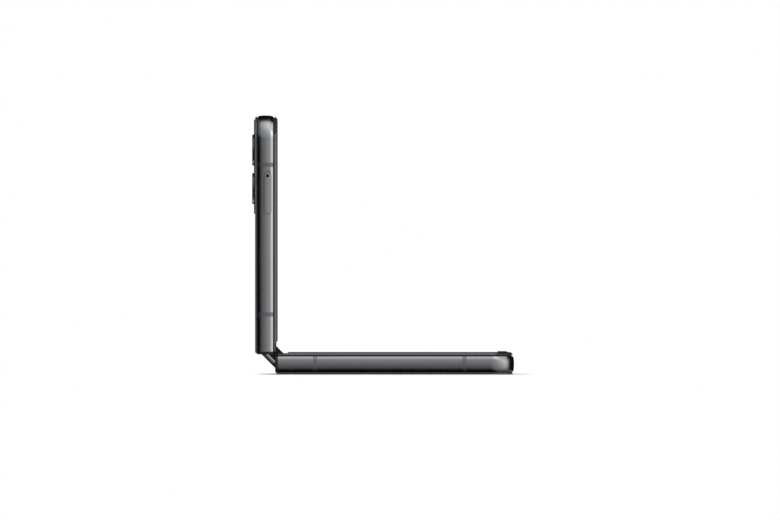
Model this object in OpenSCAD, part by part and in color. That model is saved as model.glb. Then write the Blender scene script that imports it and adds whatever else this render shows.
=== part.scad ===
// Clamshell folding phone, standing half open at a right angle.
// The lower half lies on its back along +X, and the upper half stands on the hinge along +Z.
// Each half is drawn lying flat: x runs from its hinge end, y across, z up from its back glass.
// The spine is drawn flat too: x across the fold, y along it, z = 0 level with the bezel tops.

/* [Body] */
// Length of each half, from its hinge end to its free end
half_length = 82.5; // [81:0.5:88]
// Width across the side rails
body_width = 72; // [71:0.5:76]
// Thickness of each half, from the back glass to the top of the bezel
half_thickness = 7.5; // [7.4:0.1:8.2]
// Plan radius of the corners at the free ends
corner_radius = 8; // [7:0.5:9]
// Radius of the edge between the hinge end and the back
hinge_end_round = 1.2; // [0.8:0.1:1.5]

/* [Frame] */
// Thickness of the side rails
rail_wall = 1.8; // [1.7:0.1:2]
// Radius to which the outer face of the rail is crowned
rail_crown = 20; // [14:1:30]
// How far the rail draws in at its back edge
rail_back_inset = 0.2; // [0.1:0.05:0.4]
// Height of the rail's curve into the back
rail_back_curve = 1.1; // [0.8:0.1:1.4]
// Height of the bright chamfer at the rail's front edge
rail_chamfer = 0.75; // [0.5:0.05:0.9]
// How far the chamfer draws in
rail_chamfer_inset = 0.3; // [0.2:0.05:0.5]
// Thickness of the middle plate that carries the display
mid_plate_thickness = 0.6; // [0.5:0.05:0.8]
// Thickness of the wall round the hinge pocket
pocket_wall = 0.85; // [0.6:0.05:1.2]
// Distance from the hinge end to the first antenna band
band_from_hinge = 13.8; // [12:0.2:16]
// Distance from the free end to the second antenna band
band_from_free_end = 17.1; // [15:0.1:19]
// Width of each antenna band
band_width = 1.5; // [1:0.1:2]
// Depth of each antenna band into the rail
band_depth = 1.2; // [0.8:0.1:1.4]

/* [Back glass] */
// Thickness of the back glass
back_glass = 0.6; // [0.5:0.05:0.7]
// Height of the dark seam between the back glass and the rail
back_seam = 0.35; // [0.2:0.05:0.4]
// How far the glass stands in from the rail's outer face
back_glass_inset = 0.45; // [0.4:0.05:0.6]
// Width of the curved edge of the glass
back_glass_curve = 1.1; // [0.6:0.1:1.2]

/* [Display and bezel] */
// Height of the raised bezel
bezel_height = 0.8; // [0.75:0.01:0.95]
// Height of the dark seam between the bezel and the rail
bezel_seam = 0.5; // [0.35:0.01:0.55]
// Width of the bezel
bezel_width = 2.7; // [2.4:0.1:3]
// How far the bezel stands in from the rail's outer face
bezel_inset = 0.5; // [0.45:0.05:0.7]
// Radius on the bezel's outer edge
bezel_round = 0.75; // [0.4:0.05:0.75]
// Distance from the hinge end at which the full bezel begins
bezel_start = 4.2; // [4.1:0.1:5]
// Distance from the hinge end at which the low end of the bezel begins
bezel_low_start = 1; // [0.8:0.1:1.4]
// Height lost by the low end of the bezel
bezel_low_drop = 0.44; // [0.3:0.02:0.6]
// Depth of the display's surface below the top of the bezel
display_depth = 0.9; // [0.88:0.01:0.96]
// Thickness of the folding display
display_thickness = 0.6; // [0.5:0.05:0.65]
// Thickness of the steel plate that backs the display
support_plate_thickness = 0.2; // [0.15:0.05:0.2]
// Distance from the hinge end at which the display starts to fold
fold_start = 3.6; // [3.5:0.1:4]
// Length of each rubber bumper along its arc
bumper_arc = 28; // [20:2:50]
// Height by which a bumper stands above the bezel
bumper_height = 0.3; // [0.2:0.02:0.34]
// Width of each bumper
bumper_width = 1.2; // [0.8:0.1:1.4]

/* [Hinge] */
// Distance of each hinge axis from the end of its half
axis_inset = 2.95; // [2.9:0.01:3]
// Depth of each hinge axis below the top of the bezel
axis_depth = 2; // [1.95:0.01:2.05]
// Gap from each half to the middle of the fold when the phone is flat
end_gap = 0.15; // [0.12:0.01:0.2]
// Outer radius of the spine about each hinge axis
spine_radius = 4.4; // [4.3:0.05:4.5]
// Gap between the spine and the pocket it turns in
pocket_clearance = 0.1; // [0.08:0.01:0.15]
// Wall thickness of the spine cover
spine_wall = 0.5; // [0.4:0.05:0.5]
// Length of the thick rim at each end of the spine cover
spine_rim_length = 1; // [0.6:0.1:1.4]
// Thickness of that rim
spine_rim = 1; // [0.8:0.05:1.1]
// Gap between the end of the spine and the side rail
spine_end_gap = 0.15; // [0.1:0.01:0.25]
// Inner radius of the arc rotators
rotator_inner = 2.3; // [2.25:0.05:2.35]
// Outer radius of the arc rotators
rotator_outer = 3; // [2.9:0.05:3]
// Running clearance of the hinge's sliding faces
hinge_clearance = 0.05; // [0.04:0.01:0.06]
// Length of each rotator along the fold
rotator_length = 11.8; // [11.4:0.1:12.2]
// Travel of the timing slider for each radian of fold, in millimetres
slider_lead = 2.26; // [2.1:0.02:2.4]
// Diameter of the timing pins
timing_pin_diameter = 0.9; // [0.8:0.05:1]
// Outer diameter of the torque springs
spring_diameter = 2.4; // [2.2:0.1:2.5]
// Wire diameter of the torque springs
spring_wire = 0.4; // [0.3:0.05:0.45]
// Turns in each torque spring
spring_turns = 9; // [7:1:11]

/* [Cameras] */
// Length of the raised camera glass
island_length = 32.6; // [31:0.2:34]
// Distance from the free end to the raised camera glass
island_from_end = 1.4; // [1.3:0.1:1.8]
// Distance from the side of the phone to the raised camera glass
island_side_inset = 1.7; // [1.6:0.1:3]
// Height of the raised camera glass above the back
island_height = 0.37; // [0.3:0.01:0.45]
// Plan radius of its corners
island_corner = 6.5; // [5:0.5:7]
// Outer diameter of each lens ring
ring_diameter = 10.8; // [10:0.1:11.2]
// Height of each lens ring above the camera glass
ring_height = 0.96; // [0.7:0.02:1.1]
// Wall of each lens ring
ring_wall = 0.7; // [0.5:0.05:0.9]
// Distance from the free end to the first lens
lens_from_end = 11.7; // [11.4:0.1:12.4]
// Distance between the two lenses
lens_spacing = 13.4; // [12.8:0.1:14]
// Distance from the side of the phone to the lenses
lens_from_side = 10.6; // [10.2:0.1:11.4]
// Diameter of the flash lens
flash_diameter = 3.4; // [3:0.1:3.8]
// Diameter of the camera behind the inner display
front_camera_diameter = 3; // [2.6:0.1:3.4]

/* [Keys and tray] */
// Length of the volume rocker
rocker_length = 19; // [17:0.5:20]
// Distance from the free end to the middle of the volume rocker
rocker_from_free_end = 27.5; // [26.5:0.5:28.5]
// Length of the power key
power_key_length = 12; // [11:0.5:13]
// Distance between the middles of the rocker and the power key
key_spacing = 19; // [18.5:0.5:20]
// Width of both keys across the rail
key_width = 2; // [1.7:0.1:2.2]
// Height of the keys above the rail
key_proud = 0.45; // [0.35:0.05:0.55]
// Length of the card tray's face
tray_length = 14.4; // [13.8:0.1:15]
// Width of the card tray's face across the rail
tray_width = 2.4; // [2.2:0.1:2.5]
// Distance from the free end to the nearer end of the tray's face
tray_from_free_end = 19.7; // [19.2:0.1:20.4]
// Depth to which the tray reaches behind its face
tray_depth = 15; // [14:0.5:16]
// Diameter of the pin hole in the tray's face
tray_pin_hole = 1; // [0.8:0.05:1.1]
// Gap round keys and tray
key_clearance = 0.1; // [0.08:0.01:0.15]

/* [Sockets] */
// Outer width of the charging socket's shell
usb_width = 8.94; // [8.8:0.02:9.1]
// Outer height of the charging socket's shell
usb_height = 3.16; // [3:0.02:3.3]
// Depth of the charging socket
usb_depth = 7.4; // [7:0.1:8]
// Wall of the charging socket's shell
usb_wall = 0.3; // [0.25:0.05:0.35]
// Number of speaker holes
speaker_holes = 6; // [4:1:7]
// Diameter of each speaker hole
speaker_hole = 1.1; // [0.8:0.05:1.3]
// Distance between speaker holes
speaker_pitch = 2; // [1.6:0.1:2.2]

/* [Cells and boards] */
// Distance from the free end of the lower half to its battery
lower_battery_from_end = 21; // [20:1:26]
// Width of the lower battery
lower_battery_width = 50; // [46:1:54]
// Distance from the free end of the upper half to its battery
upper_battery_from_end = 38; // [37:1:42]
// Width of the upper battery
upper_battery_width = 50; // [46:1:54]
// Thickness of the circuit boards
board_thickness = 0.8; // [0.6:0.1:0.9]
// Outer radius of the charging coil
coil_outer = 20; // [18:0.5:20.5]
// Inner radius of the charging coil
coil_inner = 10; // [8:0.5:12]
// Diameter of the heads of the small screws
screw_head = 2.2; // [1.9:0.1:2.4]

/* [Hidden] */
$fn = 64;
eps = 0.01;

// Colours
rail_grey = [0.36, 0.37, 0.38];
glass_grey = [0.24, 0.25, 0.26];
ink_black = [0.03, 0.03, 0.035];
seam_black = [0.06, 0.06, 0.06];
steel = [0.62, 0.62, 0.64];
cell_grey = [0.2, 0.2, 0.22];
board_green = [0.05, 0.2, 0.14];
copper = [0.72, 0.42, 0.24];
gold = [0.75, 0.6, 0.3];

// Levels in each half, up from the back of the glass
half_width = body_width / 2;
rail_back = back_glass + back_seam;
rail_front = half_thickness - bezel_height - bezel_seam;
bezel_back = rail_front + bezel_seam;
display_front = half_thickness - display_depth;
display_back = display_front - display_thickness;
plate_back = display_back - support_plate_thickness;
mid_back = plate_back - mid_plate_thickness;
axis_height = half_thickness - axis_depth;
pocket_radius = spine_radius + pocket_clearance;
lip_top = axis_height - pocket_radius;
inner_side = half_width - rail_wall;
inner_end = half_length - rail_wall;

// Places of the three folding bodies
fold_angle = 90;
spine_tilt = fold_angle / 2;
axis_spacing = axis_inset + end_gap;
lower_axis = [-half_length / 2 + axis_inset, axis_height];
spine_origin = [
    lower_axis[0] - cos(spine_tilt) * axis_spacing + sin(spine_tilt) * axis_depth,
    lower_axis[1] + sin(spine_tilt) * axis_spacing + cos(spine_tilt) * axis_depth
];
upper_axis = [
    spine_origin[0] - cos(spine_tilt) * axis_spacing - sin(spine_tilt) * axis_depth,
    spine_origin[1] + sin(spine_tilt) * axis_spacing - cos(spine_tilt) * axis_depth
];

module in_lower_half() {
    translate([-half_length / 2, 0, 0]) children();
}

module in_spine() {
    translate([spine_origin[0], 0, spine_origin[1]]) rotate([0, spine_tilt, 0]) children();
}

module in_upper_half() {
    translate([upper_axis[0] - axis_height, 0, upper_axis[1] - axis_inset])
        mirror([1, 0, 0]) rotate([0, -90, 0]) children();
}

// Draws a piece as it is and again on the other side of the middle plane.
module both_sides() {
    children();
    mirror([0, 1, 0]) children();
}

// Draws a spine piece on both sides of the fold.
module both_folds() {
    children();
    mirror([1, 0, 0]) children();
}

// A slab from y = from to y = to of a profile drawn in x and z.
module across(from, to) {
    translate([0, to, 0]) rotate([90, 0, 0]) linear_extrude(to - from) children();
}

// A rectangle from one corner to the opposite one.
module area(low, high) {
    translate(low) square(high - low);
}

// A box from one corner to the opposite one.
module block(low, high) {
    translate(low) cube(high - low);
}

// A sector of a disc between two angles, wide enough for the given radius.
module sector(radius, from, to) {
    steps = ceil((to - from) / 45);
    polygon(concat([[0, 0]], [for (i = [0 : steps])
        let (a = from + (to - from) * i / steps)
        [cos(a), sin(a)] * radius * 1.5]));
}

// Part of a ring between two radii and two angles.
module ring_sector(inner, outer, from, to) {
    intersection() {
        difference() {
            circle(outer);
            circle(inner);
        }
        sector(outer, from, to);
    }
}

// A flat capsule along x.
module capsule(length, width) {
    square([length - width, width], center = true);
    for (side = [-1, 1]) translate([side * (length - width) / 2, 0]) circle(width / 2);
}

// A rectangle with round corners.
module round_rectangle(size, radius) {
    square([size[0] - 2 * radius, size[1]], center = true);
    square([size[0], size[1] - 2 * radius], center = true);
    for (x = [-1, 1], y = [-1, 1])
        translate([x * (size[0] / 2 - radius), y * (size[1] / 2 - radius)]) circle(radius);
}

// Plan of one half, drawn in from the rail's outer face, with square corners at the hinge end.
module half_plan(inset, start) {
    corner_x = half_length - corner_radius;
    corner_y = half_width - corner_radius;
    area([start, -(half_width - inset)], [corner_x, half_width - inset]);
    area([corner_x - eps, -corner_y], [half_length - inset, corner_y]);
    for (side = [-1, 1]) translate([corner_x, side * corner_y]) circle(corner_radius - inset);
}

// Carries a section round the rail's U. The section's x is corner_radius at the outer face.
module along_rail(start) {
    corner_x = half_length - corner_radius;
    corner_y = half_width - corner_radius;
    translate([corner_x, corner_y, 0]) rotate([90, 0, 0]) linear_extrude(2 * corner_y) children();
    both_sides() {
        translate([corner_x, corner_y, 0]) rotate_extrude(angle = 90) children();
        translate([start, corner_y, 0]) rotate([90, 0, 90])
            linear_extrude(corner_x - start) children();
    }
}

// Side outline of a half, with the edge at the back of the hinge end rounded.
module side_outline() {
    round = hinge_end_round;
    translate([round, round]) circle(round);
    area([round, 0], [half_length + 1, half_thickness + 1]);
    area([0, round], [round + eps, half_thickness + 1]);
}

module within_side_outline() {
    intersection() {
        children();
        across(-body_width, body_width) side_outline();
    }
}

// How far the rail's outer face draws in at a height.
function rail_draw(z) =
    let (middle = (rail_back + rail_front) / 2,
         low = max(0, 1 - (z - rail_back) / rail_back_curve))
    pow(z - middle, 2) / (2 * rail_crown) + rail_back_inset * pow(low, 2);

rail_steps = 12;
rail_outline = concat(
    [for (i = [0 : rail_steps])
        let (z = rail_back + (rail_front - rail_chamfer - rail_back) * i / rail_steps)
        [corner_radius - rail_draw(z), z]],
    [[corner_radius - rail_draw(rail_front - rail_chamfer) - rail_chamfer_inset, rail_front]]
);

module rail_section() {
    polygon(concat(rail_outline, [
        [corner_radius - rail_wall, rail_front],
        [corner_radius - rail_wall, rail_back]
    ]));
}

// ---- Hinge stations, measured outwards from the middle of the fold ----
spine_half = inner_side - spine_end_gap;
cap_thickness = 1.5;
cap_inner = spine_half - cap_thickness;
cap_gap = 0.1;
outer_wall = 1.4;
bracket_outer = cap_inner - cap_gap;
rotator_to = bracket_outer - outer_wall - cap_gap;
rotator_from = rotator_to - rotator_length;
follower_length = 2.1;
follower_from = rotator_from - hinge_clearance - follower_length;
seat_thickness = 1.4;
spring_from = 6.5;
seat_from = spring_from - seat_thickness;

spine_bottom = -axis_depth - spine_radius;
floor_top = spine_bottom + spine_wall;
bracket_bottom = floor_top + hinge_clearance;
base_thickness = 0.5;
base_top = bracket_bottom + base_thickness;
base_half = axis_spacing + 0.3;
guide_outer = spine_radius - spine_wall - hinge_clearance;
guide_inner = rotator_outer + hinge_clearance;
core_radius = rotator_inner - hinge_clearance;
rotator_low = 176;
rotator_high = 356;
guide_low = 200;
guide_high = 344;
rib_angle = 335;
wall_high = -13;

// Room that the display needs above the hinge when the phone is closed
closed_half_gap = axis_spacing - axis_depth;
neutral_depth = display_depth + display_thickness / 2;
closed_fold_radius = closed_half_gap + neutral_depth;
half_turn_length = PI * closed_fold_radius / 2;
closed_fold_centre = -axis_depth - axis_inset - end_gap + half_turn_length;
fold_plate_thickness = 0.15;
fold_plate_gap = 0.03;
closed_fold_bottom = closed_fold_centre - closed_fold_radius - display_thickness / 2
    - fold_plate_gap - fold_plate_thickness;
display_room_bottom = closed_fold_bottom - 0.02;
display_room_half = closed_fold_radius + display_thickness / 2 + 0.05;

// Neutral line of the display at the resting angle: an arc that meets both halves' planes.
// The middle of the fold sinks evenly, so at rest it is half-way between its two limits.
rest_neutral_bottom = (-neutral_depth + closed_fold_centre - closed_fold_radius) / 2;
plane_crossing = -axis_depth + (axis_depth - neutral_depth) / cos(spine_tilt)
    - axis_spacing * tan(spine_tilt);
rest_fold_radius = (rest_neutral_bottom - plane_crossing) / (1 / cos(spine_tilt) - 1);
rest_fold_centre = rest_neutral_bottom + rest_fold_radius;
// Place along each half at which the arc begins
rest_tangent = rest_fold_radius * sin(spine_tilt);
rest_tangent_from_end = axis_inset + (rest_tangent - axis_spacing
    + (axis_depth - neutral_depth) * sin(spine_tilt)) / cos(spine_tilt);

// Sizes of the hinge plates that join the rotators to each half
tab_low = -0.6;
tab_high = plate_back - axis_height;
tab_end = 12.5;
mid_plate_start = axis_inset + pocket_radius + pocket_wall;
hinge_plate_thickness = 0.8;
hinge_plate_end = 17;
plate_margin = 1.5;
hinge_plate_top = axis_height + tab_low;
hinge_plate_back = hinge_plate_top - hinge_plate_thickness;
plate_step = tab_end + 0.5;
screw_radius = 0.6;
screw_head_height = 0.5;
tab_screw_x = 10.6;
plate_screw_x = 15;
screw_spread = 3.6;
rotator_middle = (rotator_from + rotator_to) / 2;

// Window in the pocket wall through which the flexible cable passes
cable_width = 7;
cable_thickness = 0.2;
cable_window = cable_width / 2 + 0.6;
cable_level = 4.7;
cable_window_half_height = 0.45;
cable_end = 14;

// Shared stations along each half
battery_start = hinge_plate_end + 1.5;
lower_battery_end = half_length - lower_battery_from_end;
upper_battery_end = half_length - upper_battery_from_end;
battery_back = rail_back + 0.1;
battery_round = 2.5;
battery_gap = 2;
board_screw_radius = 1.4;
seal_width = 0.75;
seal_inset = 0.85;
seal_start = 0.4;
glass_start = 0.4;
display_side_gap = 0.1;
fold_display_half = cap_inner - cap_gap;
plate_inset = 0.4;
punch_hole_clearance = 0.15;
front_camera_from_end = 6.2;
front_camera_x = half_length - front_camera_from_end;

// ---- Pieces that both halves have ----

// The hollow that the spine turns in, cut out of the hinge end of a half.
module hinge_pocket() {
    across(-inner_side, inner_side) {
        translate([axis_inset, axis_height]) circle(pocket_radius);
        area([-1, lip_top], [axis_inset, half_thickness]);
        area([-1, axis_height - eps], [axis_inset + pocket_radius, half_thickness]);
    }
}

module band_slots() {
    both_sides()
        for (x = [band_from_hinge, half_length - band_from_free_end])
            block([x - band_width / 2, half_width - band_depth, 0],
                [x + band_width / 2, half_width + 1, half_thickness]);
}

module straight_rail() {
    translate([0, half_width - corner_radius, 0]) rotate([90, 0, 90])
        linear_extrude(half_length - corner_radius) rail_section();
}

module antenna_bands() {
    color(seam_black) intersection() {
        both_sides() straight_rail();
        band_slots();
    }
}

module screw_hole(x, y, from, to) {
    translate([x, y, from - eps]) cylinder(r = screw_radius + hinge_clearance,
        h = to - from + 2 * eps);
}

// A small screw put in from the back, with its head's underside at the given level.
module screw(x, y, head_top, tip) {
    translate([x, y, head_top - screw_head_height]) difference() {
        cylinder(d = screw_head, h = screw_head_height);
        translate([0, 0, -eps]) cylinder(d = screw_head / 2, h = screw_head_height / 2, $fn = 6);
    }
    translate([x, y, head_top]) cylinder(r = screw_radius, h = tip - head_top);
}

module hinge_screw_places() {
    for (y = [-1, 1]) translate([0, rotator_middle + y * screw_spread, 0]) children();
}

module frame_blank() {
    within_side_outline() difference() {
        union() {
            along_rail(0) rail_section();
            translate([0, 0, mid_back]) linear_extrude(mid_plate_thickness) difference() {
                half_plan(rail_wall - 0.3, mid_plate_start - 0.3);
                both_sides() area([0, rotator_from - 2], [plate_step, inner_side - 1]);
            }
            block([0, -inner_side - eps, back_glass],
                [mid_plate_start, inner_side + eps, plate_back]);
        }
        hinge_pocket();
        band_slots();
        both_sides() {
            block([axis_inset, rotator_from - 0.3, axis_height + tab_low - 0.1],
                [mid_plate_start + 1, rotator_to + 0.3, half_thickness]);
            hinge_screw_places() screw_hole(plate_screw_x, 0, mid_back, plate_back);
        }
        block([axis_inset, -cable_window, cable_level - cable_window_half_height],
            [mid_plate_start + 1, cable_window, cable_level + cable_window_half_height]);
    }
}

module back_glass_section() {
    steps = 6;
    edge = corner_radius - back_glass_inset;
    polygon(concat(
        [for (i = [0 : steps])
            let (a = 90 * i / steps)
            [edge - back_glass_curve * (1 - sin(a)), back_glass * (1 - cos(a))]],
        [[edge - back_glass_curve - 1, back_glass], [edge - back_glass_curve - 1, 0]]
    ));
}

module back_cover_blank() {
    inner = back_glass_inset + back_glass_curve + 1;
    within_side_outline() {
        along_rail(glass_start) back_glass_section();
        linear_extrude(back_glass) half_plan(inner - eps, glass_start);
    }
}

module back_seal() {
    color(seam_black) along_rail(seal_start)
        area([corner_radius - seal_inset - seal_width, back_glass],
            [corner_radius - seal_inset, rail_back]);
}

bezel_seam_depth = 0.4;

module bezel_section() {
    steps = 5;
    edge = corner_radius - bezel_inset;
    seam_edge = edge - bezel_seam_depth;
    polygon(concat(
        [[edge - bezel_width, bezel_back], [edge - bezel_width, half_thickness]],
        [for (i = [0 : steps])
            let (a = 90 * i / steps)
            [edge - bezel_round * (1 - sin(a)), half_thickness - bezel_round * (1 - cos(a))]],
        [[edge, bezel_back], [seam_edge, bezel_back], [seam_edge, rail_front],
         [corner_radius - rail_wall, rail_front], [corner_radius - rail_wall, bezel_back]]
    ));
}

module bezel_blank() {
    edge = half_width - bezel_inset;
    seam_edge = edge - bezel_seam_depth;
    along_rail(bezel_start) bezel_section();
    both_sides() intersection() {
        union() {
            block([bezel_low_start, inner_side, rail_front],
                [bezel_start, seam_edge, half_thickness - bezel_low_drop]);
            block([bezel_low_start, inner_side, bezel_back],
                [bezel_start, edge, half_thickness - bezel_low_drop]);
        }
        across(0, half_width) {
            translate([axis_inset, axis_height]) circle(axis_spacing - 0.1);
            area([axis_inset, 0], [bezel_start, half_thickness]);
        }
    }
}

// Plan of the display, narrower beside the hinge's end caps.
module display_plan(inset, start) {
    side = rail_wall + display_side_gap + inset;
    half_plan(side, bezel_start + 0.2 + inset);
    area([start, -fold_display_half + inset], [bezel_start + 1, fold_display_half - inset]);
}

module display_blank() {
    translate([0, 0, display_back]) linear_extrude(display_thickness)
        display_plan(0, fold_start);
}

module support_plate_blank() {
    translate([0, 0, plate_back]) linear_extrude(support_plate_thickness)
        display_plan(plate_inset, fold_start + 0.1);
}

// Plates that carry the rotators' tabs and are screwed up into the middle plate.
module hinge_plates() {
    color(steel) both_sides() difference() {
        union() {
            block([mid_plate_start + 0.1, rotator_from - plate_margin, hinge_plate_back],
                [hinge_plate_end, rotator_to + plate_margin, hinge_plate_top]);
            block([plate_step + 0.2, rotator_from - plate_margin, hinge_plate_top - eps],
                [hinge_plate_end, rotator_to + plate_margin, mid_back]);
        }
        hinge_screw_places() {
            screw_hole(tab_screw_x, 0, hinge_plate_back, hinge_plate_top);
            screw_hole(plate_screw_x, 0, hinge_plate_back, mid_back);
        }
    }
}

groove_play = 0.5;
groove_overcut = 0.4;
groove_turn = 122;

// A groove that lets the timing pin run as the rotator turns.
// Seen along the fold, the pin is straight below the axis, and the groove winds past it.
module timing_groove() {
    run = slider_lead * groove_turn * PI / 180;
    pin_angle = 270 - spine_tilt;
    width_angle = (timing_pin_diameter + groove_play) / slider_lead * 180 / PI;
    translate([axis_inset, pin_station - run / 2, axis_height]) rotate([-90, 0, 0])
        linear_extrude(run, twist = groove_turn, slices = 14, $fn = 6)
            rotate(groove_turn / 2 - pin_angle) groove_wedge(width_angle);
}

module groove_wedge(angle) {
    low = rotator_inner - groove_overcut;
    high = rotator_outer + groove_overcut;
    polygon([for (p = [[low, -1], [high, -1], [high, 0], [high, 1], [low, 1], [low, 0]])
        let (a = p[1] * angle / 2) [cos(a), sin(a)] * p[0]]);
}

// Arc rotators, one on each side of the phone, each with the tab that is screwed to its plate.
module rotators() {
    color(steel) both_sides() difference() {
        union() {
            across(rotator_from, rotator_to) translate([axis_inset, axis_height])
                ring_sector(rotator_inner, rotator_outer, rotator_low, rotator_high);
            block([axis_inset + rotator_inner + 0.05, rotator_from, axis_height + tab_low],
                [tab_end, rotator_to, axis_height + tab_high]);
        }
        hinge_screw_places() screw_hole(tab_screw_x, 0, axis_height + tab_low,
            axis_height + tab_high);
        timing_groove();
    }
}

// ---- Lower half ----
usb_level = (rail_back + rail_front) / 2;
usb_slot_gap = 0.05;
usb_recess = 0.3;
lower_board_top = usb_level - usb_height / 2;
lower_board_start = lower_battery_end + battery_gap;
lower_board_end = inner_end - 1;
speaker_width = 19;
speaker_side_gap = 4.2;
speaker_end = inner_side - speaker_side_gap;
speaker_start = speaker_end - speaker_width;
speaker_middle = (speaker_start + speaker_end) / 2;
speaker_length = 13;
speaker_port_half = 1;
speaker_board_gap = 2;
lower_board_side = speaker_start - speaker_board_gap;
motor_size = [10, 9];
motor_side_gap = 4.2;
motor_side = inner_side - motor_side_gap - motor_size[1];
motor_step = 0.8;
module_round = 1.5;
microphone_hole = 0.9;
microphone_side = -11;
upper_microphone_side = -14;
board_hole_inset = 2.5;
board_hole_depth = 1.5;
board_hole_places = [[lower_board_start + board_hole_inset, -motor_side + 8],
                     [lower_board_end - board_hole_inset, -motor_side + 5],
                     [lower_board_start + board_hole_inset, lower_board_side - 4]];

module usb_outline(grow) {
    rotate([90, 0, 90]) linear_extrude(usb_depth + 1) capsule(usb_width + 2 * grow,
        usb_height + 2 * grow);
}

module lower_frame() {
    color(rail_grey) in_lower_half() {
        difference() {
            frame_blank();
            translate([inner_end - 1, 0, usb_level]) usb_outline(usb_slot_gap);
            for (i = [0 : speaker_holes - 1])
                translate([inner_end - 1, speaker_middle
                    + (i - (speaker_holes - 1) / 2) * speaker_pitch, usb_level])
                    rotate([0, 90, 0]) cylinder(d = speaker_hole, h = rail_wall + 2);
            translate([inner_end - 1, microphone_side, usb_level])
                rotate([0, 90, 0]) cylinder(d = microphone_hole, h = rail_wall + 2);
        }
        for (p = board_hole_places) translate([p[0], p[1], lower_board_top]) difference() {
            cylinder(r = board_screw_radius, h = mid_back - lower_board_top + eps);
            translate([0, 0, -eps])
                cylinder(r = screw_radius + hinge_clearance, h = board_hole_depth);
        }
    }
}

module lower_antenna_bands() {
    in_lower_half() antenna_bands();
}

module lower_back_cover() {
    color(glass_grey) in_lower_half() back_cover_blank();
}

module lower_back_seal() {
    in_lower_half() back_seal();
}

module lower_bezel() {
    color(ink_black) in_lower_half() bezel_blank();
}

// Two rubber pads that follow the bezel round the free corners.
module lower_bumpers() {
    middle = corner_radius - bezel_inset - bezel_width / 2 - 0.1;
    color(ink_black) in_lower_half() both_sides()
        translate([half_length - corner_radius, half_width - corner_radius, half_thickness])
            linear_extrude(bumper_height) {
                ring_sector(middle - bumper_width / 2, middle + bumper_width / 2,
                    45 - bumper_arc / 2, 45 + bumper_arc / 2);
                for (a = [-1, 1]) rotate(45 + a * bumper_arc / 2)
                    translate([middle, 0]) circle(bumper_width / 2);
            }
}

module lower_display() {
    color(ink_black) in_lower_half() display_blank();
}

module lower_support_plate() {
    color(steel) in_lower_half() support_plate_blank();
}

module lower_battery() {
    color(cell_grey) in_lower_half()
        translate([(battery_start + lower_battery_end) / 2, 0, battery_back])
            linear_extrude(mid_back - battery_back)
                round_rectangle([lower_battery_end - battery_start, lower_battery_width],
                    battery_round);
}

module lower_board() {
    color(board_green) in_lower_half() difference() {
        block([lower_board_start, -motor_side + 1, lower_board_top - board_thickness],
            [lower_board_end, lower_board_side, lower_board_top]);
        for (p = board_hole_places)
            screw_hole(p[0], p[1], lower_board_top - board_thickness, lower_board_top);
    }
}

module usb_shell() {
    color(steel) in_lower_half()
        translate([half_length - usb_recess - usb_depth, 0, usb_level]) rotate([90, 0, 90])
            difference() {
                linear_extrude(usb_depth) capsule(usb_width, usb_height);
                translate([0, 0, usb_wall]) linear_extrude(usb_depth)
                    capsule(usb_width - 2 * usb_wall, usb_height - 2 * usb_wall);
            }
}

module usb_tongue() {
    tongue_length = 4.5;
    tongue_width = 6.6;
    tongue_thickness = 0.7;
    base_length = 1.6;
    start = half_length - usb_recess - usb_depth + usb_wall;
    color(ink_black) in_lower_half() translate([start, 0, usb_level]) {
        block([0, -tongue_width / 2, -tongue_thickness / 2],
            [base_length + tongue_length, tongue_width / 2, tongue_thickness / 2]);
        rotate([90, 0, 90]) linear_extrude(base_length)
            capsule(usb_width - 2 * usb_wall - 0.04, usb_height - 2 * usb_wall - 0.04);
    }
}

module loudspeaker() {
    size = [speaker_length, speaker_width];
    port = speaker_holes * speaker_pitch;
    color(cell_grey) in_lower_half() {
        translate([lower_board_end - size[0] / 2, speaker_middle, battery_back])
            linear_extrude(mid_back - battery_back) round_rectangle(size, module_round);
        block([lower_board_end - 1, speaker_middle - port / 2, usb_level - speaker_port_half],
            [inner_end, speaker_middle + port / 2, usb_level + speaker_port_half]);
    }
}

module vibration_motor() {
    color(steel) in_lower_half()
        translate([lower_board_start + motor_size[0] / 2, -motor_side - motor_size[1] / 2,
            battery_back + motor_step]) linear_extrude(mid_back - battery_back - motor_step)
                round_rectangle(motor_size, module_round);
}

module charging_coil() {
    turns = 5;
    wire = (coil_outer - coil_inner) / turns;
    gap = 0.15;
    color(copper) in_lower_half()
        translate([(battery_start + lower_battery_end) / 2, 0, back_glass])
            linear_extrude(battery_back - back_glass) {
                for (i = [0 : turns - 1]) difference() {
                    circle(coil_inner + (i + 1) * wire - gap);
                    circle(coil_inner + i * wire + gap);
                }
                for (a = [0, 120, 240]) rotate(a) area([coil_inner + 2 * gap, -0.5],
                    [coil_outer - 2 * gap, 0.5]);
            }
}

module half_hinge_screws() {
    both_sides() hinge_screw_places() {
        screw(tab_screw_x, 0, hinge_plate_back, plate_back - 0.1);
        screw(plate_screw_x, 0, hinge_plate_back, plate_back - 0.1);
    }
}

module lower_screws() {
    color(steel) in_lower_half() {
        half_hinge_screws();
        for (p = board_hole_places)
            screw(p[0], p[1], lower_board_top - board_thickness,
                lower_board_top + board_hole_depth - 0.3);
    }
}

module lower_hinge_plates() {
    in_lower_half() hinge_plates();
}

module lower_rotators() {
    in_lower_half() rotators();
}

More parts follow.
